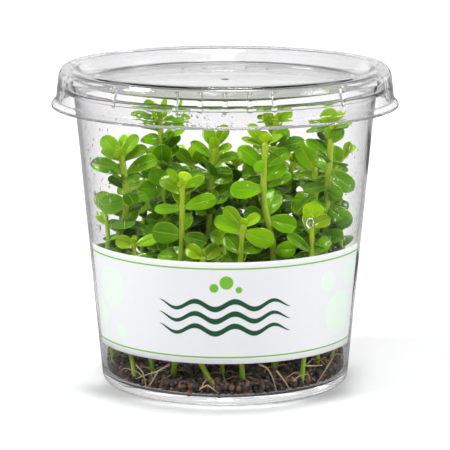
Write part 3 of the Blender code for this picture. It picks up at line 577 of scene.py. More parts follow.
# Colours, as the shaders take them
LEAF_DARK = (0.014, 0.080, 0.001)
LEAF_GREEN = (0.230, 0.560, 0.001)
LEAF_YOUNG = (0.43, 0.62, 0.004)
# Pale colour of the veins, also used for the painted rim light along the edges
LEAF_VEIN_AND_RIM_LIGHT = (0.50, 0.66, 0.08)
# Underside colour: partly the underside's own tone, partly darkened as painted shade
LEAF_UNDERSIDE_SHADED = (0.075, 0.21, 0.005)
STEM_LOW = (0.30, 0.44, 0.02)
STEM_HIGH = (0.46, 0.62, 0.02)
ROOT_TAN = (0.56, 0.43, 0.25)
ROOT_SHADE = 0.5
GRAIN_COLOURS = [
    (0.0, (0.008, 0.008, 0.012)),
    (0.3, (0.019, 0.012, 0.007)),
    (0.55, (0.040, 0.021, 0.010)),
    (0.78, (0.085, 0.040, 0.016)),
    (0.93, (0.17, 0.075, 0.030)),
    (1.0, (0.30, 0.17, 0.08)),
]
GRAIN_SPECK = (0.20, 0.13, 0.08)
SPECK_STOPS = [(0.6, 0.0), (0.78, 0.4)]
FILM_WHITE = (0.7, 0.706, 0.722)
FILM_SHADE = 0.965
INK_DARK = (0.012, 0.075, 0.035)
INK_GREEN = (0.16, 0.42, 0.03)
INK_PALE = (0.66, 0.75, 0.68)

# Pale parts of a leaf, across it from midrib (0) to edge (1) or along it from the foot: place and share; the
# pale band at the edge is painted rim light
MIDRIB_STOPS = [(0.0, 0.7), (0.03, 0.45), (0.08, 0.0)]
SIDE_VEIN_STOPS = [(0.35, 0.0), (0.39, 0.2), (0.43, 0.0), (0.66, 0.0), (0.69, 0.15), (0.72, 0.0)]
EDGE_RIM_LIGHT_STOPS = [(0.9, 0.0), (0.98, 0.6)]
FOOT_STOPS = [(0.0, 0.55), (0.32, 0.0)]

# How much each influence counts in the leaf's and the grain's shaders
CLOUD_SHARE = 0.4
CHANCE_SHARE = 0.75
VEIN_BEND = 0.16
VEIN_AND_RIM_SHARE = 0.72
UNDERSIDE_SHADE_SHARE = 0.6
LEAF_GLOSS = 0.12
LEAF_GLOSS_CELLS = 0.16
LEAF_GLOSS_UNDER = 0.2
CELL_RELIEF = 0.35
STREAK_SHARE = 0.25
STREAK_STRETCH = (1.0, 1.0, 0.12)
PATCH_SHARE = 0.5
GRAIN_GLOSS = 0.42
GRAIN_GLOSS_PATCHES = 0.4

# Camera
CAMERA_DISTANCE = 0.55
CAMERA_ELEVATION = 11.12
CAMERA_TARGET = (0.0, 0.0, 0.03411)
SENSOR = 36.0
LENS = 199.1

# Lamps: place, size and power in watts
LAMPS = {
    "key_left": ((-0.78, -0.28, 0.68), (0.3, 0.3), 7.5),
    "overhead": ((0.05, 0.12, 1.0), (0.28, 0.28), 7.7),
    "glint_front": ((-0.16, -0.7, 0.8), (0.2, 0.2), 1.6),
    "fill_right": ((0.8, -0.35, 0.4), (0.3, 0.4), 4.8),
}

# Floor: its glow grows with the distance from the cup, in units of FLOOR_REACH
FLOOR_HALF_SIZE = 4.0
FLOOR_CELLS = 8
FLOOR_REACH = 1.5
FLOOR_GLOW = [(0.0, 0.0), (0.06, 0.0), (0.27, 0.34), (1.0, 0.9)]
FLOOR_MIRRORED = (0.16, 0.16, 0.16, 1.0)

# Surroundings, as brightness over the direction: 0 is in front or straight down, 1 is behind or straight up.
# The last two dim what is mirrored once, so that the plastic doesn't turn milky.
WORLD_STRENGTH = 0.85
WORLD_DIMMING = 0.55
BRIGHT_BEHIND = [(0.0, 0.75), (0.35, 0.75), (0.6, 0.95), (1.0, 1.0)]
BRIGHT_ABOVE = [(0.5, 0.9), (0.62, 1.0), (0.72, 0.55), (0.85, 0.8), (1.0, 1.0)]
MIRRORED_BEHIND = [(0.0, 0.08), (0.25, 0.12), (0.5, 0.75), (0.75, 1.0)]
MIRRORED_ABOVE = [(0.0, 1.0), (0.64, 1.0), (0.78, 0.3), (1.0, 0.25)]


def node(tree, kind, inputs=None, **settings):
    """A new shader node; an input is a plain value or another node's socket."""
    made = tree.nodes.new(kind)
    for key, value in settings.items():
        setattr(made, key, value)
    for key, value in (inputs or {}).items():
        if isinstance(value, bpy.types.NodeSocket):
            tree.links.new(value, made.inputs[key])
        else:
            made.inputs[key].default_value = value
    return made


def calc(tree, operation, *values):
    return node(tree, "ShaderNodeMath", dict(enumerate(values)), operation=operation).outputs[0]


def weighted(tree, *terms):
    """The sum of values, each times its weight."""
    parts = [calc(tree, "MULTIPLY", value, weight) for value, weight in terms]
    total = parts[0]
    for part in parts[1:]:
        total = calc(tree, "ADD", total, part)
    return total


def strongest(tree, values):
    total = values[0]
    for value in values[1:]:
        total = calc(tree, "MAXIMUM", total, value)
    return total


def colour_mix(tree, share, first, second, blend="MIX"):
    """The first colour turned into the second by a share from 0 to 1."""
    first, second = [(*c, 1.0) if isinstance(c, tuple) and len(c) == 3 else c for c in (first, second)]
    return node(tree, "ShaderNodeMix", {0: share, 6: first, 7: second},
                data_type="RGBA", blend_type=blend).outputs[2]


def ramp(tree, value, stops):
    """A value or colour read off between stops of (place, value or colour)."""
    made = node(tree, "ShaderNodeValToRGB", {"Fac": value})
    elements = made.color_ramp.elements
    while len(elements) < len(stops):
        elements.new(0.5)
    for element, (place, colour) in zip(elements, stops):
        element.position = place
        element.color = (*colour, 1.0) if isinstance(colour, tuple) else (colour, colour, colour, 1.0)
    return made.outputs["Color"]


def noise_value(tree, per_metre, detail, roughness=0.5, place=None, distortion=0.0):
    """Noise in object space."""
    place = place or node(tree, "ShaderNodeTexCoord").outputs["Object"]
    values = {"Vector": place, "Scale": per_metre, "Detail": detail, "Roughness": roughness,
              "Distortion": distortion}
    return node(tree, "ShaderNodeTexNoise", values).outputs[0]


def add_bump(tree, shader, height, strength, distance):
    made = node(tree, "ShaderNodeBump", {"Height": height, "Strength": strength, "Distance": distance})
    tree.links.new(made.outputs["Normal"], shader.inputs["Normal"])


def tint_parts(tree):
    """The three values that tint_points gave to each point."""
    tint = node(tree, "ShaderNodeAttribute", attribute_name="tint").outputs["Color"]
    return node(tree, "ShaderNodeSeparateColor", {0: tint}).outputs


def place_parts(tree, layer):
    """The place of each point in a UV layer: across or along, then up."""
    place = node(tree, "ShaderNodeUVMap", uv_map=layer).outputs[0]
    return node(tree, "ShaderNodeSeparateXYZ", {0: place}).outputs


def new_material(name, **values):
    """A Principled material with plain values on its sockets; the names have _ for each space."""
    material = bpy.data.materials.new(name)
    material.use_nodes = True
    tree = material.node_tree
    shader = tree.nodes["Principled BSDF"]
    for key, value in values.items():
        shader.inputs[key.replace("_", " ")].default_value = value
    return material, tree, shader


def let_light_in(material, tree, shader, tint):
    """Lets the lamps' light and the light from soft surfaces straight through a clear material."""
    path = node(tree, "ShaderNodeLightPath")
    share = calc(tree, "MAXIMUM", path.outputs["Is Shadow Ray"], path.outputs["Is Diffuse Ray"])
    straight = node(tree, "ShaderNodeBsdfTransparent", {"Color": (*tint, 1.0)})
    mixed = node(tree, "ShaderNodeMixShader", {0: share, 1: shader.outputs[0], 2: straight.outputs[0]})
    tree.links.new(mixed.outputs[0], tree.nodes["Material Output"].inputs["Surface"])
    return material


def clear_plastic(name, roughness, scuffs, sheen):
    """Clear moulded plastic with faint flow marks."""
    material, tree, shader = new_material(
        name, Base_Color=(0.9, 0.896, 0.9, 1.0), Roughness=roughness, IOR=1.49, Transmission_Weight=1.0,
        Specular_Tint=(sheen, sheen, sheen, 1.0))
    flow = noise_value(tree, per_metre=220.0, detail=2.0, distortion=0.6)
    add_bump(tree, shader, flow, strength=scuffs, distance=0.0002)
    return let_light_in(material, tree, shader, PLASTIC_CLEAR)


def water():
    material, tree, shader = new_material(
        "water_drops", Base_Color=(1.0, 1.0, 1.0, 1.0), Roughness=0.0, IOR=1.33, Transmission_Weight=1.0)
    return let_light_in(material, tree, shader, WATER_CLEAR)


def leaf_material():
    """Glossy green blade: young tips are yellow-green, veins are pale and the edges carry a pale painted rim
    light; the underside is dull and darker, partly its own tone and partly painted shade.
    """
    material, tree, shader = new_material(
        "bacopa_leaf", Roughness=0.3, IOR=1.42, Subsurface_Weight=0.3, Subsurface_Scale=0.0008,
        Subsurface_Radius=(0.5, 1.0, 0.12), Specular_IOR_Level=0.3,
        Specular_Tint=(0.8, 1.0, 0.3, 1.0), Coat_Weight=0.55, Coat_Roughness=0.07)
    youth, chance, under = tint_parts(tree)[:3]
    across, along = place_parts(tree, "blade")[:2]
    across = calc(tree, "ABSOLUTE", calc(tree, "SUBTRACT", calc(tree, "MULTIPLY", across, 2.0), 1.0))
    cells = noise_value(tree, per_metre=1900.0, detail=3.0)
    clouds = noise_value(tree, per_metre=330.0, detail=2.0)
    mottled = weighted(tree, (clouds, CLOUD_SHARE), (chance, CHANCE_SHARE))
    blade = colour_mix(tree, youth, colour_mix(tree, mottled, LEAF_DARK, LEAF_GREEN), LEAF_YOUNG)
    midrib = ramp(tree, across, MIDRIB_STOPS)
    bent = calc(tree, "ADD", across, weighted(tree, (calc(tree, "SUBTRACT", clouds, 0.5), VEIN_BEND)))
    side_veins = ramp(tree, bent, SIDE_VEIN_STOPS)
    # Midrib, side veins and foot are the leaf's own pale parts; the edge band is painted rim light
    pale_veins_and_rim_light = strongest(tree, [midrib, side_veins, ramp(tree, across, EDGE_RIM_LIGHT_STOPS),
                            ramp(tree, along, FOOT_STOPS)])
    veined_and_rim_lit = colour_mix(tree, weighted(tree, (pale_veins_and_rim_light, VEIN_AND_RIM_SHARE)), blade, LEAF_VEIN_AND_RIM_LIGHT)
    # The underside is darker: partly its own tone, partly painted shade
    underside_shaded = colour_mix(tree, weighted(tree, (under, UNDERSIDE_SHADE_SHARE)), veined_and_rim_lit, LEAF_UNDERSIDE_SHADED)
    tree.links.new(underside_shaded, shader.inputs["Base Color"])
    least = calc(tree, "ADD", LEAF_GLOSS, weighted(tree, (under, LEAF_GLOSS_UNDER)))
    gloss = calc(tree, "ADD", weighted(tree, (cells, LEAF_GLOSS_CELLS)), least)
    tree.links.new(gloss, shader.inputs["Roughness"])
    relief = calc(tree, "SUBTRACT", weighted(tree, (cells, CELL_RELIEF)),
                  calc(tree, "ADD", midrib, side_veins))
    add_bump(tree, shader, relief, strength=0.55, distance=0.00012)
    return material


def stem_material():
    """Smooth juicy stem: green low down and yellower towards the tip."""
    material, tree, shader = new_material(
        "bacopa_stem", Roughness=0.36, IOR=1.42, Subsurface_Weight=0.3, Subsurface_Scale=0.0012,
        Subsurface_Radius=(0.6, 1.0, 0.2), Coat_Weight=0.15, Coat_Roughness=0.2)
    shade = colour_mix(tree, tint_parts(tree)[0], STEM_LOW, STEM_HIGH)
    place = node(tree, "ShaderNodeMapping", {"Vector": node(tree, "ShaderNodeTexCoord").outputs["Object"],
                                             "Scale": STREAK_STRETCH}).outputs[0]
    streaks = noise_value(tree, per_metre=2600.0, detail=3.0, place=place)
    streaked = colour_mix(tree, weighted(tree, (streaks, STREAK_SHARE)), shade, LEAF_DARK)
    tree.links.new(streaked, shader.inputs["Base Color"])
    add_bump(tree, shader, streaks, strength=0.3, distance=0.00012)
    return material


def root_material():
    material, tree, shader = new_material(
        "roots", Roughness=0.5, Subsurface_Weight=0.2, Subsurface_Scale=0.0004)
    mottle = noise_value(tree, per_metre=2400.0, detail=3.0)
    colour = colour_mix(tree, mottle, tuple(part * ROOT_SHADE for part in ROOT_TAN), ROOT_TAN)
    tree.links.new(colour, shader.inputs["Base Color"])
    add_bump(tree, shader, mottle, strength=0.4, distance=0.0001)
    return material


def soil_material():
    """Baked soil grains, each its own brown or charcoal, with rough pitted skins."""
    material, tree, shader = new_material("soil_grains", Roughness=0.7)
    specks = noise_value(tree, per_metre=2300.0, detail=4.0, roughness=0.65)
    patches = noise_value(tree, per_metre=700.0, detail=2.0)
    patched = weighted(tree, (calc(tree, "SUBTRACT", patches, 0.5), PATCH_SHARE))
    colour = ramp(tree, calc(tree, "ADD", tint_parts(tree)[1], patched), GRAIN_COLOURS)
    speckled = colour_mix(tree, ramp(tree, specks, SPECK_STOPS), colour, GRAIN_SPECK)
    tree.links.new(speckled, shader.inputs["Base Color"])
    gloss = calc(tree, "ADD", GRAIN_GLOSS, weighted(tree, (patches, GRAIN_GLOSS_PATCHES)))
    tree.links.new(gloss, shader.inputs["Roughness"])
    add_bump(tree, shader, specks, strength=0.7, distance=0.00025)
    return material


def stripe(tree, value, middle, half, soft):
    """1 where value is within half of middle, fading to 0 over a soft edge."""
    away = calc(tree, "ABSOLUTE", calc(tree, "SUBTRACT", value, middle))
    faded = calc(tree, "DIVIDE", calc(tree, "SUBTRACT", half, away), soft)
    return node(tree, "ShaderNodeMath", {0: faded, 1: 0.5}, operation="ADD", use_clamp=True).outputs[0]


def disc(tree, along, up, centre, radius):
    """1 inside a printed disc, fading to 0 over its soft edge."""
    flat = calc(tree, "SUBTRACT", along, centre[0])
    high = calc(tree, "SUBTRACT", up, centre[1])
    squares = calc(tree, "ADD", calc(tree, "MULTIPLY", flat, flat), calc(tree, "MULTIPLY", high, high))
    return stripe(tree, calc(tree, "SQRT", squares), 0.0, radius, INK_SOFT)


def printed_waves(tree, along, up):
    """Ripples that swing up and down along the film and thin out towards both ends."""
    swing = calc(tree, "SINE", calc(tree, "MULTIPLY", along, math.tau / WAVE_LENGTH))
    flat = calc(tree, "SUBTRACT", up, calc(tree, "MULTIPLY", swing, WAVE_RISE))
    share = calc(tree, "DIVIDE", along, WAVE_HALF_SPAN)
    narrowing = node(tree, "ShaderNodeMath", {0: 1.0, 1: calc(tree, "MULTIPLY", share, share)},
                     operation="SUBTRACT", use_clamp=True).outputs[0]
    widest = calc(tree, "MULTIPLY", calc(tree, "SQRT", narrowing), WAVE_HALF_LINE + WAVE_POINT)
    half_line = calc(tree, "SUBTRACT", widest, WAVE_POINT)
    return strongest(tree, [stripe(tree, flat, height, half_line, INK_SOFT) for height in WAVE_HEIGHTS])


def label_material():
    """Satin film with a printed band of ripples, bubbles and two thin rules. Its UVs are in millimetres."""
    material, tree, shader = new_material("label_print", Roughness=0.42, Specular_IOR_Level=0.2)
    along, up = place_parts(tree, "print")[:2]
    bubbles = strongest(tree, [disc(tree, along, up, centre, radius) for centre, radius in BUBBLES])
    rules = strongest(tree, [stripe(tree, up, height, RULE_HALF, INK_SOFT) for height in RULE_HEIGHTS])
    ends = strongest(tree, [disc(tree, along, up, centre, radius) for centre, radius in END_BUBBLES])
    cloudy = noise_value(tree, per_metre=900.0, detail=3.0)
    film = colour_mix(tree, cloudy, FILM_WHITE, tuple(part * FILM_SHADE for part in FILM_WHITE))
    printed = colour_mix(tree, ends, film, INK_PALE)
    printed = colour_mix(tree, strongest(tree, [rules, bubbles]), printed, INK_GREEN)
    printed = colour_mix(tree, printed_waves(tree, along, up), printed, INK_DARK)
    tree.links.new(printed, shader.inputs["Base Color"])
    add_bump(tree, shader, noise_value(tree, per_metre=2600.0, detail=2.0), strength=0.08, distance=0.00005)
    return material


def seen_in_gloss(tree):
    """1 for what is mirrored once in a surface, and 0 for what is seen straight or deep in clear plastic."""
    return calc(tree, "COMPARE", node(tree, "ShaderNodeLightPath").outputs["Glossy Depth"], 1.0, 0.5)


def floor_material():
    """Bright pale floor that is dimmer in reflections, as a floor that falls off into a dark room is."""
    material, tree, shader = new_material(
        "studio_floor", Base_Color=(0.8, 0.8, 0.805, 1.0), Roughness=0.55, Specular_IOR_Level=0.2,
        Emission_Color=(1.0, 1.0, 1.0, 1.0))
    away = node(tree, "ShaderNodeVectorMath", {0: node(tree, "ShaderNodeTexCoord").outputs["Object"]},
                operation="LENGTH").outputs["Value"]
    glow = ramp(tree, calc(tree, "DIVIDE", away, FLOOR_REACH), FLOOR_GLOW)
    tree.links.new(glow, shader.inputs["Emission Strength"])
    dim = node(tree, "ShaderNodeBsdfDiffuse", {"Color": FLOOR_MIRRORED}).outputs[0]
    mixed = node(tree, "ShaderNodeMixShader", {0: seen_in_gloss(tree), 1: shader.outputs[0], 2: dim})
    tree.links.new(mixed.outputs[0], tree.nodes["Material Output"].inputs["Surface"])
    return material


def add_piece(name, mesh, materials, nodes=()):
    """A visible piece in the scene, riding on the one body and standing for its nodes."""
    thing = bpy.data.objects.new(name, mesh)
    bpy.context.scene.collection.objects.link(thing)
    for material in materials:
        mesh.materials.append(material)
    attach(thing, "root")
    if nodes:
        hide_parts(*nodes)
    return thing


def mesh_from(name, points, faces):
    """A smooth mesh from points in millimetres."""
    mesh = bpy.data.meshes.new(name)
    mesh.from_pydata((np.asarray(points, float) * MM).tolist(), [], faces)
    mesh.shade_smooth()
    return mesh


def turn_faces_out(mesh):
    shape = bmesh.new()
    shape.from_mesh(mesh)
    bmesh.ops.recalc_face_normals(shape, faces=shape.faces)
    shape.to_mesh(mesh)
    shape.free()


def tint_points(mesh, values):
    """A colour attribute with one value for each point of the mesh."""
    layer = mesh.color_attributes.new("tint", "FLOAT_COLOR", "POINT")
    colours = np.ones((len(mesh.vertices), 4), np.float32)
    colours[:, :3] = values
    layer.data.foreach_set("color", colours.ravel())


def lay_out(mesh, name, places):
    """A UV layer with one place for each point of the mesh."""
    layer = mesh.uv_layers.new(name=name)
    for loop in mesh.loops:
        layer.data[loop.index].uv = places[loop.vertex_index]


def clamped(value):
    return min(1.0, max(0.0, value))


def pulled_in(x, y, limit):
    """The place itself, or the nearest one within a radius of the axis."""
    away = math.hypot(x, y)
    return (x, y) if away <= limit else (x * limit / away, y * limit / away)


def body_radius(z):
    """Outer radius of the cup's tapered wall at a height."""
    (low_radius, low_z), (high_radius, high_z) = BODY_LOW, BODY_HIGH
    return low_radius + (high_radius - low_radius) * (z - low_z) / (high_z - low_z)


def inner_radius(z):
    return body_radius(z) - WALL


def softened(corners):
    """Points along an outline whose (radius, z, rounding) corners are curves, with a guard beside each."""
    points = []
    for index, (radius, z, size) in enumerate(corners):
        here = Vector((radius, z))
        if size == 0:
            points.append(here)
            continue
        before = Vector(corners[index - 1][:2]) - here
        after = Vector(corners[index + 1][:2]) - here
        start = here + before.normalized() * min(size, before.length * CORNER_SHARE)
        end = here + after.normalized() * min(size, after.length * CORNER_SHARE)
        points.append(start + before.normalized() * min(CORNER_GUARD, before.length * GUARD_SHARE))
        for step in range(CORNER_STEPS + 1):
            t = step / CORNER_STEPS
            points.append(start * (1 - t) ** 2 + here * 2 * t * (1 - t) + end * t ** 2)
        points.append(end + after.normalized() * min(CORNER_GUARD, after.length * GUARD_SHARE))
    return points


def divided(points, longest):
    """The outline with points added, so that no stretch is longer than the given length."""
    result = [points[0]]
    for start, end in zip(points, points[1:]):
        count = max(1, math.ceil((end - start).length / longest))
        result += [start.lerp(end, step / count) for step in range(1, count + 1)]
    return result


def turned_mesh(name, outline, angles, push):
    """The outline turned round the z axis; push gives how far a point moves outward at an angle."""
    ring = outline[1:-1]
    points = [(0, 0, outline[0].y)]
    for spot in ring:
        for angle in angles:
            radius = spot.x + push(angle, spot)
            points.append((radius * math.cos(angle), radius * math.sin(angle), spot.y))
    points.append((0, 0, outline[-1].y))
    count, last = len(angles), len(points) - 1
    faces = []
    for step in range(count):
        after = (step + 1) % count
        faces.append((0, 1 + step, 1 + after))
        for row in range(len(ring) - 1):
            base = 1 + row * count
            faces.append((base + step, base + count + step, base + count + after, base + after))
        base = 1 + (len(ring) - 1) * count
        faces.append((last, base + after, base + step))
    mesh = mesh_from(name, points, faces)
    turn_faces_out(mesh)
    return mesh


def even_angles():
    return [math.tau * step / ROUND_STEPS for step in range(ROUND_STEPS)]


def wall_wobble(angle, spot):
    """The slight unevenness of a moulded wall, which is not the same inside and outside."""
    if spot.y < FLOOR_TOP + FOOT_CORNER or spot.y > RIM_Z - 3 * WALL:
        return 0.0
    shift = 0 if spot.x < body_radius(spot.y) - WALL / 2 else WOBBLE_OUTSIDE
    place = (WOBBLE_ROUND * math.cos(angle), WOBBLE_ROUND * math.sin(angle), spot.y / WOBBLE_HEIGHT + shift)
    return WALL_WOBBLE * noise.noise(Vector(place))


def make_cup(material):
    """The cup's outline, from the middle of its floor over the rim to the middle of its underside."""
    corners = [
        (0, FLOOR_TOP, 0),
        (inner_radius(FLOOR_TOP), FLOOR_TOP, FLOOR_ROUNDING),
        (inner_radius(RIM_Z), RIM_Z, RIM_ROUNDING),
        (FLANGE_RADIUS, RIM_Z, RIM_ROUNDING),
        (FLANGE_RADIUS, RIM_Z - WALL, FLANGE_ROUNDING),
        (body_radius(RIM_Z - WALL), RIM_Z - WALL, NECK_ROUNDING),
        (body_radius(0), 0, BASE_ROUNDING),
        (FOOT_INNER_RADIUS, 0, FOOT_ROUNDING),
        (FOOT_INNER_RADIUS - FLOOR_UNDERSIDE, FLOOR_UNDERSIDE, FOOT_ROUNDING),
        (0, FLOOR_UNDERSIDE, 0),
    ]
    mesh = turned_mesh("clear_cup", divided(softened(corners), CUP_STRETCH), even_angles(), wall_wobble)
    return add_piece("clear_cup", mesh, [material], ["cup"])


def rib_angles():
    return [math.radians(angle) for angle in RIB_ANGLES + SINGLE_RIB_ANGLES]


def off_angle(angle, other):
    """How far apart two directions are."""
    return abs(math.remainder(angle - other, math.tau))


def lid_angles():
    """Even steps round the lid, with closer ones across each rib."""
    half = math.radians(RIB_HALF_ANGLE)
    fine = [(angle + half * step) % math.tau for angle in rib_angles() for step in RIB_STEPS]
    near = half * RIB_CLEARING
    gaps = [angle for angle in even_angles() if all(off_angle(angle, other) > near for other in rib_angles())]
    return sorted(gaps + fine)


def rib_push(angle, spot):
    """How far the inside of the lid's ring stands in at a rib."""
    if spot.x < RING_OUTER_RADIUS - RIB_RING_INSET or spot.x > SHOULDER[0] - LID_WALL / 2:
        return 0.0
    if not RIB_LOW < spot.y < RIB_TOP:
        return 0.0
    nearest = min(off_angle(angle, other) for other in rib_angles())
    share = min(1.0, nearest / math.radians(RIB_HALF_ANGLE * RIB_FOOT))
    return -RIB_DEPTH * math.cos(share * math.pi / 2) ** RIB_CROWN


def make_lid(material):
    """The lid's outline from the middle of its panel, down its skirt and back along its hollow side."""
    corners = [
        (0, PANEL_Z + NUB_HEIGHT, 0),
        (NUB_RADIUS * NUB_TOP_SHARE, PANEL_Z + NUB_HEIGHT, NUB_ROUNDING),
        (NUB_RADIUS, PANEL_Z, NUB_ROUNDING),
        (PANEL_RADIUS, PANEL_Z, PANEL_ROUNDING),
        (RING_INNER_RADIUS, LID_TOP, RING_INNER_ROUNDING),
        (RING_OUTER_RADIUS, LID_TOP, RING_OUTER_ROUNDING),
        (*SHOULDER, SHOULDER_ROUNDING),
        (*SKIRT_LOW, SKIRT_ROUNDING),
        (LIP_RADIUS, LIP_Z, LIP_ROUNDING),
        (LIP_RADIUS, LIP_Z - LIP_WALL, LIP_EDGE_ROUNDING),
        (LIP_RADIUS - LIP_WALL, LIP_Z - LIP_WALL, LIP_EDGE_ROUNDING),
        (SKIRT_LOW[0] - LID_WALL, SKIRT_LOW[1] - FLARE_INSET, SKIRT_ROUNDING),
        (SHOULDER[0] - LID_WALL, SHOULDER[1] - LIP_WALL, HOLLOW_SHOULDER_ROUNDING),
        (RING_OUTER_RADIUS - LIP_WALL, LID_TOP - LID_WALL, HOLLOW_RING_ROUNDING),
        (RING_INNER_RADIUS + LIP_WALL, LID_TOP - LID_WALL, HOLLOW_RING_ROUNDING),
        (PANEL_RADIUS + LIP_WALL, PANEL_Z - LID_WALL, HOLLOW_PANEL_ROUNDING),
        (0, PANEL_Z - LID_WALL, 0),
    ]
    mesh = turned_mesh("clear_lid", divided(softened(corners), LID_STRETCH), lid_angles(), rib_push)
    return add_piece("clear_lid", mesh, [material], ["lid"])


def make_label(material):
    """A film wrapped round the front of the cup, with its print laid out in millimetres."""
    points, places = [], []
    half = math.radians(LABEL_HALF_ANGLE)
    for row in range(LABEL_ROWS):
        z = LABEL_LOW + (LABEL_HIGH - LABEL_LOW) * row / (LABEL_ROWS - 1)
        radius = body_radius(z) + LABEL_CLEARANCE
        for column in range(LABEL_COLUMNS + 1):
            angle = half * (2 * column / LABEL_COLUMNS - 1)
            points.append((radius * math.sin(angle), -radius * math.cos(angle), z))
            places.append((angle * body_radius(z), z))
    width = LABEL_COLUMNS + 1
    faces = [(row * width + column, row * width + column + 1, (row + 1) * width + column + 1,
              (row + 1) * width + column) for row in range(LABEL_ROWS - 1) for column in range(LABEL_COLUMNS)]
    mesh = mesh_from("wrap_label", points, faces)
    lay_out(mesh, "print", places)
    label = add_piece("wrap_label", mesh, [material], ["label"])
    film = label.modifiers.new("Film", "SOLIDIFY")
    film.thickness = LABEL_THICKNESS * MM
    film.offset = 1.0
    return label


def soil_height(x, y):
    """Surface of the soil, which has slumped towards the front."""
    lump = noise.noise(Vector((x, y, 0)) / SOIL_LUMP_SIZE)
    return SOIL_LEVEL + SOIL_SLOPE * y + SOIL_LUMP * lump


def grain_templates(draw):
    """A few lumpy round grains of radius 1, and the faces that they share."""
    shape = bmesh.new()
    bmesh.ops.create_icosphere(shape, subdivisions=2, radius=1.0)
    ball = np.array([point.co[:] for point in shape.verts])
    faces = np.array([[point.index for point in face.verts] for face in shape.faces])
    shape.free()
    grains = []
    for _ in range(GRAIN_SHAPES):
        shift = Vector([draw.uniform(-NOISE_RANGE, NOISE_RANGE) for _ in range(3)])
        lumps = np.array([noise.noise(Vector(point) * GRAIN_ROUGHNESS + shift) for point in ball])
        stretch = np.array([draw.uniform(*GRAIN_STRETCHES) for _ in range(3)])
        grains.append(ball * (1 + GRAIN_LUMP * lumps[:, None]) * stretch)
    return grains, faces


def hex_spots(radius, pitch, shift):
    """Staggered places over a disc."""
    spots = []
    rows = int(radius / (pitch * ROW_PITCH)) + 1
    for row in range(-rows, rows + 1):
        y = row * pitch * ROW_PITCH
        for column in range(-rows - 2, rows + 3):
            x = (column + 0.5 * (row % 2)) * pitch + shift
            if math.hypot(x, y) < radius:
                spots.append((x, y))
    return spots


def jitter(draw):
    return draw.uniform(-GRAIN_JITTER, GRAIN_JITTER)


def surface_grains(draw):
    """Centres and sizes of the grains in the uppermost layers."""
    grains = []
    for depth, shift, spacing in SURFACE_LAYERS:
        for x, y in hex_spots(inner_radius(SOIL_LEVEL) - SURFACE_INSET, GRAIN_PITCH * spacing, shift):
            size = draw.uniform(GRAIN_SMALL, GRAIN_LARGE)
            x += jitter(draw)
            y += jitter(draw)
            z = soil_height(x, y) - depth + jitter(draw)
            x, y = pulled_in(x, y, inner_radius(z) - size - SURFACE_GAP)
            grains.append((x, y, z, size))
    return grains


def wall_ring(level, inset, pitch, draw):
    """Centres and sizes of the grains in one ring along the wall, up to the soil's surface."""
    grains = []
    count = int(math.tau * (inner_radius(level) - inset) / pitch)
    start = draw.uniform(0, math.tau)
    for step in range(count):
        angle = start + math.tau * (step + draw.uniform(-GRAIN_SWING, GRAIN_SWING)) / count
        size = draw.uniform(GRAIN_SMALL, GRAIN_LARGE)
        z = max(level + jitter(draw), FLOOR_TOP + size + GRAIN_GAP)
        radius = inner_radius(z) - size - GRAIN_GAP - inset - draw.uniform(0, WALL_DEPTH)
        if z < FLOOR_TOP + FOOT_CORNER + size:
            radius -= CORNER_INSET
        x, y = radius * math.cos(angle), radius * math.sin(angle)
        if z < soil_height(x, y) - WALL_COVER:
            grains.append((x, y, z, size))
    return grains


def wall_grains(draw):
    """Centres and sizes of the grains that show through the wall and the floor of the cup."""
    grains = []
    for inset, spacing in WALL_LAYERS:
        level = FLOOR_TOP + WALL_FIRST_LEVEL
        while level < SOIL_LEVEL + SOIL_SLOPE * BODY_LOW[0]:
            grains += wall_ring(level, inset, GRAIN_PITCH * spacing, draw)
            level += GRAIN_PITCH * WALL_LEVEL_PITCH
    for x, y in hex_spots(inner_radius(FLOOR_TOP) - FLOOR_LAYER_INSET, GRAIN_PITCH * FLOOR_LAYER_PITCH, 0.0):
        size = draw.uniform(GRAIN_SMALL, GRAIN_LARGE)
        grains.append((x + jitter(draw), y, FLOOR_TOP + size + GRAIN_GAP, size))
    return grains


def soil_core():
    """Points and faces of the dark heart of the bed, out of sight under the grains; its dark tint is painted
    shade for the gaps between them.
    """
    points = []
    for z, inset, slope in ((CORE_FOOT_Z, CORE_FOOT_INSET, 0.0), (CORE_TOP_Z, CORE_TOP_INSET, SOIL_SLOPE)):
        radius = inner_radius(z) - inset
        for step in range(CORE_STEPS):
            angle = math.tau * step / CORE_STEPS
            y = radius * math.sin(angle)
            points.append((radius * math.cos(angle), y, z + slope * y))
    return np.array(points), tube_faces(0, 1, CORE_STEPS)


def grain_mesh(name, grains, templates, faces, draw, core=None):
    """All grains as one mesh, each turned its own way and tinted by chance, with the dark core if given."""
    points, joined, tints = [], [], []
    count = 0
    for x, y, z, size in grains:
        angle = draw.uniform(0, math.tau)
        turn = np.array(Matrix.Rotation(angle, 3, Vector((draw.random(), draw.random(), 1))))
        points.append(draw.choice(templates) @ turn.T * size + (x, y, z))
        joined.append(faces + count)
        count += len(points[-1])
        tints.append(np.tile((0.0, draw.random(), 0.0), (len(points[-1]), 1)))
    joined = np.concatenate(joined).tolist()
    if core:
        joined += [tuple(index + count for index in face) for face in core[1]]
        points.append(core[0])
        # The core's near-black tint is painted shade, as dark as the gaps deep between grains
        tints.append(np.tile((0.0, CORE_PAINTED_SHADE, 0.0), (len(core[0]), 1)))
    mesh = mesh_from(name, np.concatenate(points), joined)
    tint_points(mesh, np.concatenate(tints))
    return mesh


def make_soil(material):
    draw = random.Random(SOIL_SEED)
    templates, faces = grain_templates(draw)
    upper = grain_mesh("soil_surface", surface_grains(draw), templates, faces, draw)
    lower = grain_mesh("soil_bed", wall_grains(draw), templates, faces, draw, soil_core())
    add_piece("soil_surface", upper, [material], ["soil"])
    add_piece("soil_bed", lower, [material], ["soil"])


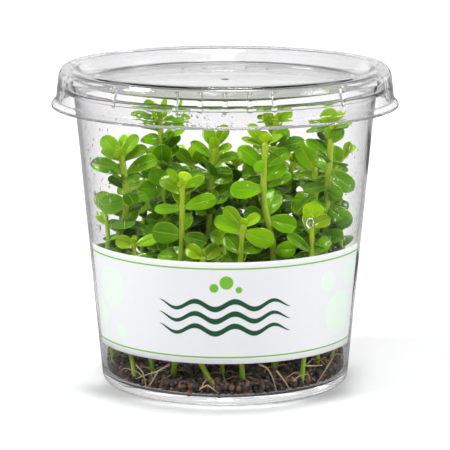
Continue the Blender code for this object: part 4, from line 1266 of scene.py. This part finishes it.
def route_point(route, share):
    """Point on a smooth curve through the route, at a share of its length from 0 to 1."""
    spans = len(route) - 1
    position = min(share * spans, spans - 1e-6)
    index = int(position)
    t = position - index
    before = route[max(index - 1, 0)]
    start = route[index]
    end = route[index + 1]
    after = route[min(index + 2, spans)]
    curve = 2 * start + (end - before) * t
    curve += (2 * before - 5 * start + 4 * end - after) * t ** 2
    curve += (3 * start - before - 3 * end + after) * t ** 3
    return curve / 2


def way_ahead(route, share, step):
    """The way that a route runs at a share of its length."""
    return route_point(route, min(1.0, share + step)) - route_point(route, max(0.0, share - step))


def stem_at_height(route, z):
    """Point of the stem at a height, found by halving."""
    low, high = 0.0, 1.0
    for _ in range(HALVINGS):
        middle = (low + high) / 2
        if route_point(route, middle).z < z:
            low = middle
        else:
            high = middle
    return route_point(route, low)


def framed_route(name):
    """The stem's route, with its foot at the height that it has in the frame."""
    radius, points = STEMS[name]
    route = [Vector(point) for point in points]
    lean = (route[1] - route[0]).normalized()
    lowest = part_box(name)[0].z / MM
    route[0].z = lowest + radius * math.hypot(lean.x, lean.y)
    return route


def heading(turn, pitch):
    """The direction at a compass turn and a pitch, both in degrees."""
    turn, pitch = math.radians(turn), math.radians(pitch)
    return Vector((math.cos(turn) * math.cos(pitch), math.sin(turn) * math.cos(pitch), math.sin(pitch)))


def paired_leaves(name):
    """Crossed pairs of leaves up a stem, steeper and shorter towards the tip."""
    count, first_turn, length = PAIRED[name]
    route = [Vector(point) for point in STEMS[name][1]]
    top = route[-1].z - PAIR_TOP_DROP
    lowest = route[0].z + (top - route[0].z) * PAIR_LOWEST_SHARE
    leaves = []
    for index in range(count):
        share = index / (count - 1)
        z = lowest + (top - lowest) * share
        pitch = PAIR_PITCH_LOW + (PAIR_PITCH_HIGH - PAIR_PITCH_LOW) * share
        reach_length = length * (1 + (PAIR_TOP_LENGTH_SHARE - 1) * share)
        width = reach_length * PAIR_WIDTH_SHARE
        for half in (0, 1):
            reach = heading(first_turn + PAIR_TURN * index + 180 * half, pitch) * reach_length
            leaves.append((z + PAIR_STAGGER * half, tuple(reach), width, PAIR_FACING))
    leaves.append((top + BUD_RISE, BUD_REACH, BUD_WIDTH, BUD_FACING))
    return leaves


def varied(reach):
    """The chosen reach first, then those that the frame may hold in its place."""
    for shrink in LEAF_SHRINKS:
        for lift in LEAF_LIFTS:
            for turn in LEAF_TURNS:
                flat = Vector((reach.x, reach.y, 0))
                axis = Vector((0, 0, 1)).cross(flat)
                raised = Matrix.Rotation(math.radians(-lift), 3, axis.normalized()) @ reach
                yield Matrix.Rotation(math.radians(turn), 3, "Z") @ raised * shrink


def frame_points(name):
    """The points of a frame node in millimetres, ready for looking up the nearest."""
    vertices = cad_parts[name].data.vertices
    tree = kdtree.KDTree(len(vertices))
    for index, vertex in enumerate(vertices):
        tree.insert(vertex.co / MM, index)
    tree.balance()
    return tree


def framed_leaves(name, route):
    """The leaves of a shoot where the frame has them: each blade's tip is a point of its node."""
    points = frame_points(name)
    placed = []
    for z, reach, width, facing in LEAVES[name] if name in LEAVES else paired_leaves(name):
        base = stem_at_height(route, z)
        misses = [(points.find(base + candidate)[2], index, candidate)
                  for index, candidate in enumerate(varied(Vector(reach)))]
        miss, _, found = min(misses)
        if miss < TIP_MATCH:
            share = found.length / Vector(reach).length
            placed.append((z, base, found, width * share, facing))
    return placed


def inside_cup(point, margin):
    """Whether a point is clear of the wall, of the lid's panel and of the soil."""
    if math.hypot(point.x, point.y) > inner_radius(point.z) - margin:
        return False
    return SOIL_LEVEL + SOIL_SLOPE * point.y + SOIL_MARGIN < point.z < PANEL_Z - LID_WALL - LID_MARGIN


def fill_leaf(route, z, turn, stagger, draw):
    """One extra leaf, or None where it is skipped, hides a stem of the front row or doesn't fit the cup."""
    length = draw.uniform(*FILL_LENGTHS)
    pitch = draw.uniform(*FILL_PITCHES)
    turn += draw.uniform(-FILL_SWING, FILL_SWING)
    skipped = draw.random() < FILL_SKIP
    hides_stem = route[0].y < FILL_FRONT_ROW and math.sin(math.radians(turn)) < FILL_BACKWARD
    base = stem_at_height(route, z + stagger)
    reach = heading(turn, pitch) * length
    fits = (inside_cup(base + reach * FILL_TIP_SHARE, FILL_TIP_MARGIN)
            and inside_cup(base + reach * FILL_MIDDLE_SHARE, FILL_MIDDLE_MARGIN))
    if skipped or hides_stem or not fits:
        return None
    return z, base, reach, length * FILL_WIDTH_SHARE * draw.uniform(*FILL_WIDTHS), FILL_FACING


def fill_leaves(route, taken, draw):
    """Rough pairs of extra leaves up a stem, away from the heights that have leaves already."""
    leaves = []
    turn = draw.uniform(0, 180)
    z = FILL_LOW + draw.uniform(0, FILL_SPACING)
    while z < route[-1].z - FILL_HIGH_DROP:
        turn += draw.uniform(*FILL_TURNS)
        if all(abs(z - other) > FILL_CLEAR for other in taken):
            for half in (0, 1):
                leaf = fill_leaf(route, z, turn + 180 * half, FILL_STAGGER * half, draw)
                leaves += [leaf] if leaf else []
        z += FILL_SPACING * draw.uniform(*FILL_GAPS)
    return leaves


def tip_leaves(route, draw):
    """The small leaves that close the tip of a shoot: two crossed pairs, nearly upright."""
    leaves = []
    turn = draw.uniform(0, 90)
    tip = route[-1]
    for pair, (length, pitch) in enumerate(TIP_PAIRS):
        for half in (0, 180):
            lean = pitch + draw.uniform(-TIP_LEAN, TIP_LEAN)
            size = length * draw.uniform(*TIP_SIZES)
            base = tip - Vector((0, 0, TIP_DROP))
            reach = heading(turn + 90 * pair + half, lean) * size
            leaves.append((tip.z, base, reach, size * TIP_WIDTH_SHARE, TIP_FACING))
    return leaves


def blade_width(share, foot):
    """Half width of a leaf at a share of its length, before it is scaled to the leaf's own width."""
    return share ** foot * math.sqrt(max(0.0, 1 - share ** LEAF_TIP_POWER))


def bell(value, half):
    """1 at zero, falling off smoothly on both sides."""
    return math.exp(-(value / half) ** 2)


def blade_relief(breadth, share, phase):
    """How far a spot of a leaf's top stands up, and how thick the leaf is there."""
    ripple = LEAF_RIPPLE * noise.noise(Vector((breadth * RIPPLE_ACROSS + phase, share * RIPPLE_ALONG, phase)))
    groove = GROOVE_DEPTH * bell(breadth, GROOVE_HALF) * math.sin(math.pi * min(1, share * GROOVE_LENGTH))
    full = LEAF_END_THICKNESS + (1 - LEAF_END_THICKNESS) * math.sin(math.pi * share)
    depth = LEAF_THICKNESS * (1 - breadth ** 2) ** 0.5 * full
    return ripple - groove, depth * LEAF_UNDER_SHARE + KEEL_DEPTH * bell(breadth, KEEL_HALF) * (1 - share)


def blade_points(base, reach, width, facing, draw):
    """Points of a leaf's top and underside, row by row from foot to tip, and each one's place on it."""
    along = reach.normalized()
    side = along.cross(Vector((0, -facing, 1 - facing)).normalized()).normalized()
    normal = side.cross(along).normalized()
    cupped = draw.uniform(*LEAF_CUPPINGS) * width
    droop = draw.uniform(*LEAF_DROOPS) * reach.length
    twist = draw.uniform(-LEAF_TWIST, LEAF_TWIST)
    phase = draw.uniform(0, NOISE_RANGE)
    foot = LEAF_FOOT_NARROW - LEAF_FOOT_ROUNDING * width / reach.length
    widest = max(blade_width(step / LEAF_WIDTH_CHECKS, foot) for step in range(LEAF_WIDTH_CHECKS + 1))
    top, under, places = [], [], []
    for row in range(LEAF_LENGTHS):
        share = 0.5 - 0.5 * math.cos(math.pi * (row + LEAF_FIRST_ROW) / (LEAF_LENGTHS - 1 + LEAF_FIRST_ROW))
        half = width / 2 * blade_width(share, foot) / widest
        arch = reach.length * LEAF_ARCH * math.sin(math.pi * share) - droop * share ** 3
        centre = base + reach * share + normal * arch
        turn = Matrix.Rotation(twist * share, 3, along)
        across, up = turn @ side, turn @ normal
        for breadth in LEAF_BREADTHS:
            rise, depth = blade_relief(breadth, share, phase)
            spot = centre + across * (half * breadth) + up * (cupped * breadth ** 2 + rise)
            top.append(spot)
            under.append(spot - up * depth)
            places.append(((breadth + 1) / 2, share))
    return top, under, places


def blade_faces(offset):
    """Faces of the top and underside, which share the points along both edges."""
    width = len(LEAF_BREADTHS)
    count = width * LEAF_LENGTHS

    def lower(index):
        return index if index % width in (0, width - 1) else index + count

    faces = []
    for row in range(LEAF_LENGTHS - 1):
        for column in range(width - 1):
            first = row * width + column
            corners = (first, first + 1, first + 1 + width, first + width)
            faces.append(tuple(offset + corner for corner in corners))
            faces.append(tuple(offset + lower(corner) for corner in reversed(corners)))
    for row in (0, LEAF_LENGTHS - 1):
        rim = [row * width + column for column in range(width)]
        back = [lower(index) for index in rim[1:-1]]
        ends = rim + back[::-1] if row == 0 else rim[::-1] + back
        faces.append(tuple(offset + index for index in ends))
    return faces


def ring_points(centre, ahead, guide, size, sides):
    """Points evenly round a centre, square to the way ahead."""
    side = ahead.cross(Vector(guide)).normalized()
    other = ahead.cross(side).normalized()
    angles = [math.tau * step / sides for step in range(sides)]
    return [centre + (side * math.cos(angle) + other * math.sin(angle)) * size for angle in angles]


def stem_points(route, radius, heights):
    """Rings of a stem that swells a little where its leaves join."""
    rings = []
    foot = route[0] - (route_point(route, STEM_TANGENT) - route[0]).normalized() * STEM_SUNK
    length = sum((b - a).length for a, b in zip(route, route[1:]))
    end_sizes = dict(zip((STEM_RINGS - 1, STEM_RINGS), STEM_END_SIZES))
    for ring in range(STEM_RINGS + 1):
        share = ring / STEM_RINGS
        centre = foot if ring == 0 else route_point(route, (ring - 1) / (STEM_RINGS - 1))
        swell = sum(NODE_SWELL * bell(centre.z - z, NODE_REACH) for z in heights[::2])
        size = radius * (1 + (STEM_TIP_TAPER - 1) * share) * (1 + min(swell, NODE_SWELL * NODE_SWELL_MOST))
        lump = noise.noise(Vector((centre.x, centre.y, share * length / STEM_LUMP_LENGTH)))
        size *= (1 + STEM_LUMP * lump) * end_sizes.get(ring, 1)
        rings += ring_points(centre, way_ahead(route, share, STEM_TANGENT), (0, 1, 0), size, STEM_SIDES)
    return rings


def tube_faces(offset, rings, sides):
    faces = []
    for ring in range(rings):
        for step in range(sides):
            after = (step + 1) % sides
            low, high = offset + ring * sides, offset + (ring + 1) * sides
            faces.append((low + step, low + after, high + after, high + step))
    faces.append(tuple(offset + step for step in reversed(range(sides))))
    faces.append(tuple(offset + rings * sides + step for step in range(sides)))
    return faces


def leaf_youth(z, top, length):
    """0 for a leaf well down the stem or fully grown, and 1 for a small one in the bud."""
    near_top = max(0.0, 1 - (top - z) / YOUTH_DEPTH)
    small = clamped((GROWN_LENGTH - length) / GROWING_SPAN)
    return near_top * max(small, LEAST_YOUTH)


def make_shoot(name, materials, draw):
    """One shoot as one mesh: its stem, then its blades."""
    radius = STEMS[name][0]
    route = framed_route(name)
    leaves = framed_leaves(name, route)
    filling = fill_leaves(route, [leaf[0] for leaf in leaves], draw)
    painted_shade_heights = {leaf[0] for leaf in filling}
    leaves += filling + tip_leaves(route, draw)
    points = stem_points(route, radius, sorted(leaf[0] for leaf in leaves))
    faces = tube_faces(0, STEM_RINGS, STEM_SIDES)
    kinds = [1] * len(faces)
    places = [(0.5, 0.5)] * len(points)
    top_z = route[-1].z
    tints = [(clamped((point.z - STEM_YOUNG_FROM) / (top_z - STEM_YOUNG_FROM)) ** STEM_YOUTH_POWER, 0.5, 0.0)
             for point in points]
    for z, base, reach, width, facing in leaves:
        top, under, spots = blade_points(base, reach, width, facing, draw)
        new_faces = blade_faces(len(points))
        points += top + under
        places += spots + spots
        faces += new_faces
        kinds += [0] * len(new_faces)
        # Extra leaves get a lower chance and so a darker green: painted shade deep in the foliage
        chance = draw.random() * (FILL_PAINTED_SHADE if z in painted_shade_heights else 1.0)
        youth = leaf_youth(z, top_z, reach.length)
        tints += [(youth, chance, 0.0)] * len(top) + [(youth, chance, 1.0)] * len(under)
    mesh = mesh_from(name + "_plant", [tuple(point) for point in points], faces)
    lay_out(mesh, "blade", places)
    tint_points(mesh, tints)
    mesh.polygons.foreach_set("material_index", kinds)
    drop_loose(mesh)
    return add_piece(name + "_plant", mesh, materials, [name])


def drop_loose(mesh):
    """Removes the points that no face uses."""
    shape = bmesh.new()
    shape.from_mesh(mesh)
    bmesh.ops.delete(shape, geom=[point for point in shape.verts if not point.link_faces], context="VERTS")
    bmesh.ops.recalc_face_normals(shape, faces=shape.faces)
    shape.to_mesh(mesh)
    shape.free()


def wall_spot(angle, z, inset):
    """Point inside the cup at an angle in degrees from the front, a little in from the wall."""
    radius = inner_radius(z) - inset
    turn = FRONT + math.radians(angle)
    return Vector((radius * math.cos(turn), radius * math.sin(turn), z))


def root_points(points, radius):
    """Rings of a thin root through the points, thinner towards its tip."""
    count = ROOT_RINGS_PER_SPAN * (len(points) - 1)
    rings = []
    for ring in range(count + 1):
        share = ring / count
        centre = route_point(points, share)
        lump = noise.noise(centre * ROOT_LUMP_SCALE)
        size = radius * (1 - ROOT_TAPER * share) * (1 + ROOT_LUMP * lump)
        rings += ring_points(centre, way_ahead(points, share, ROOT_TANGENT), ROOT_GUIDE, size, ROOT_SIDES)
    return rings


def stem_roots(name, draw):
    """Roots that run out from the foot of a stem over the soil."""
    foot = framed_route(name)[0]
    roots = []
    for index in range(ROOTS_PER_STEM):
        turn = math.tau * (index + draw.uniform(-ROOT_FAN, ROOT_FAN)) / ROOTS_PER_STEM
        points = [foot.copy()]
        for step in range(ROOT_SPANS):
            turn += draw.uniform(-ROOT_SWERVE, ROOT_SWERVE)
            way = Vector((math.cos(turn), math.sin(turn), 0))
            spot = points[-1] + way * draw.uniform(*ROOT_SPAN_LENGTHS)
            x, y = pulled_in(spot.x, spot.y, inner_radius(SOIL_LEVEL) - ROOT_WALL_MARGIN)
            spot = Vector((x, y, 0))
            spot.z = soil_height(spot.x, spot.y) + ROOT_LIFT - ROOT_DIP * step + draw.uniform(*ROOT_HEIGHTS)
            points.append(spot)
        roots.append(points)
    return roots


def make_roots(material):
    draw = random.Random(ROOT_SEED)
    routes = [[wall_spot(angle, z, FRONT_ROOT_INSET) for angle, z in root] for root in FRONT_ROOTS]
    for name in STEMS:
        routes += stem_roots(name, draw)
    points, faces = [], []
    for index, route in enumerate(routes):
        share = FRONT_ROOT_SHARE if index < len(FRONT_ROOTS) else draw.uniform(*ROOT_SIZES)
        rings = root_points(route, ROOT_RADIUS * share)
        faces += tube_faces(len(points), len(rings) // ROOT_SIDES - 1, ROOT_SIDES)
        points += rings
    mesh = mesh_from("roots", [tuple(point) for point in points], faces)
    turn_faces_out(mesh)
    return add_piece("roots", mesh, [material])


def drop_points(angle, z, size, tall):
    """A flattened dome of water on the inside of the wall, with its flat back against it."""
    centre = wall_spot(angle, z, DROP_GAP)
    inward = Vector((-centre.x, -centre.y, 0)).normalized()
    up = Vector((0, 0, 1))
    side = inward.cross(up).normalized()
    points = [centre + inward * size * DROP_HEIGHT_SHARE]
    for level in DROP_LEVELS:
        rise = math.sqrt(1 - level ** 2) * size * DROP_HEIGHT_SHARE
        for step in range(DROP_SIDES):
            turn = math.tau * step / DROP_SIDES
            spread = side * math.cos(turn) * size + up * math.sin(turn) * size * tall
            spot = centre + spread * level + inward * rise
            x, y = pulled_in(spot.x, spot.y, inner_radius(spot.z) - DROP_GAP)
            points.append(Vector((x, y, spot.z)))
    return points + [centre]


def drop_faces(offset):
    """Faces of a drop: a cap, rows of quads and a flat back."""
    faces = []
    starts = [offset + 1 + level * DROP_SIDES for level in range(len(DROP_LEVELS))]
    last = offset + 1 + len(DROP_LEVELS) * DROP_SIDES
    for step in range(DROP_SIDES):
        after = (step + 1) % DROP_SIDES
        faces.append((offset, starts[0] + step, starts[0] + after))
        for low, high in zip(starts, starts[1:]):
            faces.append((low + step, high + step, high + after, low + after))
        faces.append((last, starts[-1] + after, starts[-1] + step))
    return faces


def make_drops(material):
    draw = random.Random(DROP_SEED)
    drops = list(LARGE_DROPS)
    for count, first, last, low, high, small, large in DROP_FIELDS:
        for _ in range(count):
            size = small + (large - small) * draw.random() ** DROP_SIZE_POWER
            angle, z = draw.uniform(first, last), draw.uniform(low, high)
            drops.append((angle, z, size, draw.uniform(*DROP_TALLS)))
    points, faces = [], []
    for angle, z, size, tall in drops:
        faces += drop_faces(len(points))
        points += drop_points(angle, z, size, tall)
    mesh = mesh_from("water_drops", [tuple(point) for point in points], faces)
    turn_faces_out(mesh)
    return add_piece("water_drops", mesh, [material])


def make_floor(material):
    shape = bmesh.new()
    bmesh.ops.create_grid(shape, x_segments=FLOOR_CELLS, y_segments=FLOOR_CELLS, size=FLOOR_HALF_SIZE)
    mesh = bpy.data.meshes.new("studio_floor")
    shape.to_mesh(mesh)
    shape.free()
    floor = bpy.data.objects.new("studio_floor", mesh)
    bpy.context.scene.collection.objects.link(floor)
    mesh.materials.append(material)


def make_world():
    """Soft studio surroundings: bright behind and above, dimmer on the camera's side."""
    world = bpy.data.worlds.new("studio")
    bpy.context.scene.world = world
    world.use_nodes = True
    tree = world.node_tree
    generated = node(tree, "ShaderNodeTexCoord").outputs["Generated"]
    place = node(tree, "ShaderNodeSeparateXYZ", {0: generated}).outputs
    behind, above = [calc(tree, "ADD", calc(tree, "MULTIPLY", value, 0.5), 0.5) for value in place[1:]]
    back, top = ramp(tree, behind, BRIGHT_BEHIND), ramp(tree, above, BRIGHT_ABOVE)
    straight = colour_mix(tree, 1.0, back, top, "MULTIPLY")
    mirrored = colour_mix(tree, 1.0, straight, ramp(tree, behind, MIRRORED_BEHIND), "MULTIPLY")
    mirrored = colour_mix(tree, 1.0, mirrored, ramp(tree, above, MIRRORED_ABOVE), "MULTIPLY")
    seen = colour_mix(tree, seen_in_gloss(tree), straight, mirrored)
    tree.links.new(seen, tree.nodes["Background"].inputs["Color"])
    soft = node(tree, "ShaderNodeLightPath").outputs["Is Diffuse Ray"]
    strength = calc(tree, "SUBTRACT", WORLD_STRENGTH, calc(tree, "MULTIPLY", soft, WORLD_DIMMING))
    tree.links.new(strength, tree.nodes["Background"].inputs["Strength"])


def make_lights():
    """Square lamps, all turned towards the middle of the cup."""
    for name, (place, size, power) in LAMPS.items():
        light = bpy.data.lights.new(name, "AREA")
        light.shape = "RECTANGLE"
        light.size, light.size_y = size
        light.energy = power
        thing = bpy.data.objects.new(name, light)
        bpy.context.scene.collection.objects.link(thing)
        thing.location = place
        aim = Vector(CAMERA_TARGET) - Vector(place)
        thing.rotation_euler = aim.to_track_quat("-Z", "Y").to_euler()


def make_camera():
    data = bpy.data.cameras.new("camera")
    data.sensor_width = SENSOR
    data.lens = LENS
    camera = bpy.data.objects.new("camera", data)
    bpy.context.scene.collection.objects.link(camera)
    lift = math.radians(CAMERA_ELEVATION)
    target = Vector(CAMERA_TARGET)
    camera.location = target + Vector((0, -math.cos(lift), math.sin(lift))) * CAMERA_DISTANCE
    camera.rotation_euler = (target - camera.location).to_track_quat("-Z", "Y").to_euler()
    bpy.context.scene.camera = camera


def set_light_paths():
    scene = bpy.context.scene
    scene.view_settings.view_transform = "Standard"
    scene.cycles.use_denoising = True
    scene.cycles.max_bounces = 32
    scene.cycles.transmission_bounces = 28
    scene.cycles.glossy_bounces = 24
    scene.cycles.diffuse_bounces = 4
    scene.cycles.transparent_max_bounces = 32
    scene.cycles.caustics_reflective = False
    scene.cycles.blur_glossy = 0.4


def main():
    make_camera()
    make_cup(clear_plastic("clear_cup_plastic", *CUP_PLASTIC))
    make_lid(clear_plastic("clear_lid_plastic", *LID_PLASTIC))
    make_label(label_material())
    make_soil(soil_material())
    plant = [leaf_material(), stem_material()]
    draw = random.Random(PLANT_SEED)
    for name in STEMS:
        make_shoot(name, plant, draw)
    make_roots(root_material())
    make_drops(water())
    make_floor(floor_material())
    make_world()
    make_lights()
    set_light_paths()


main()
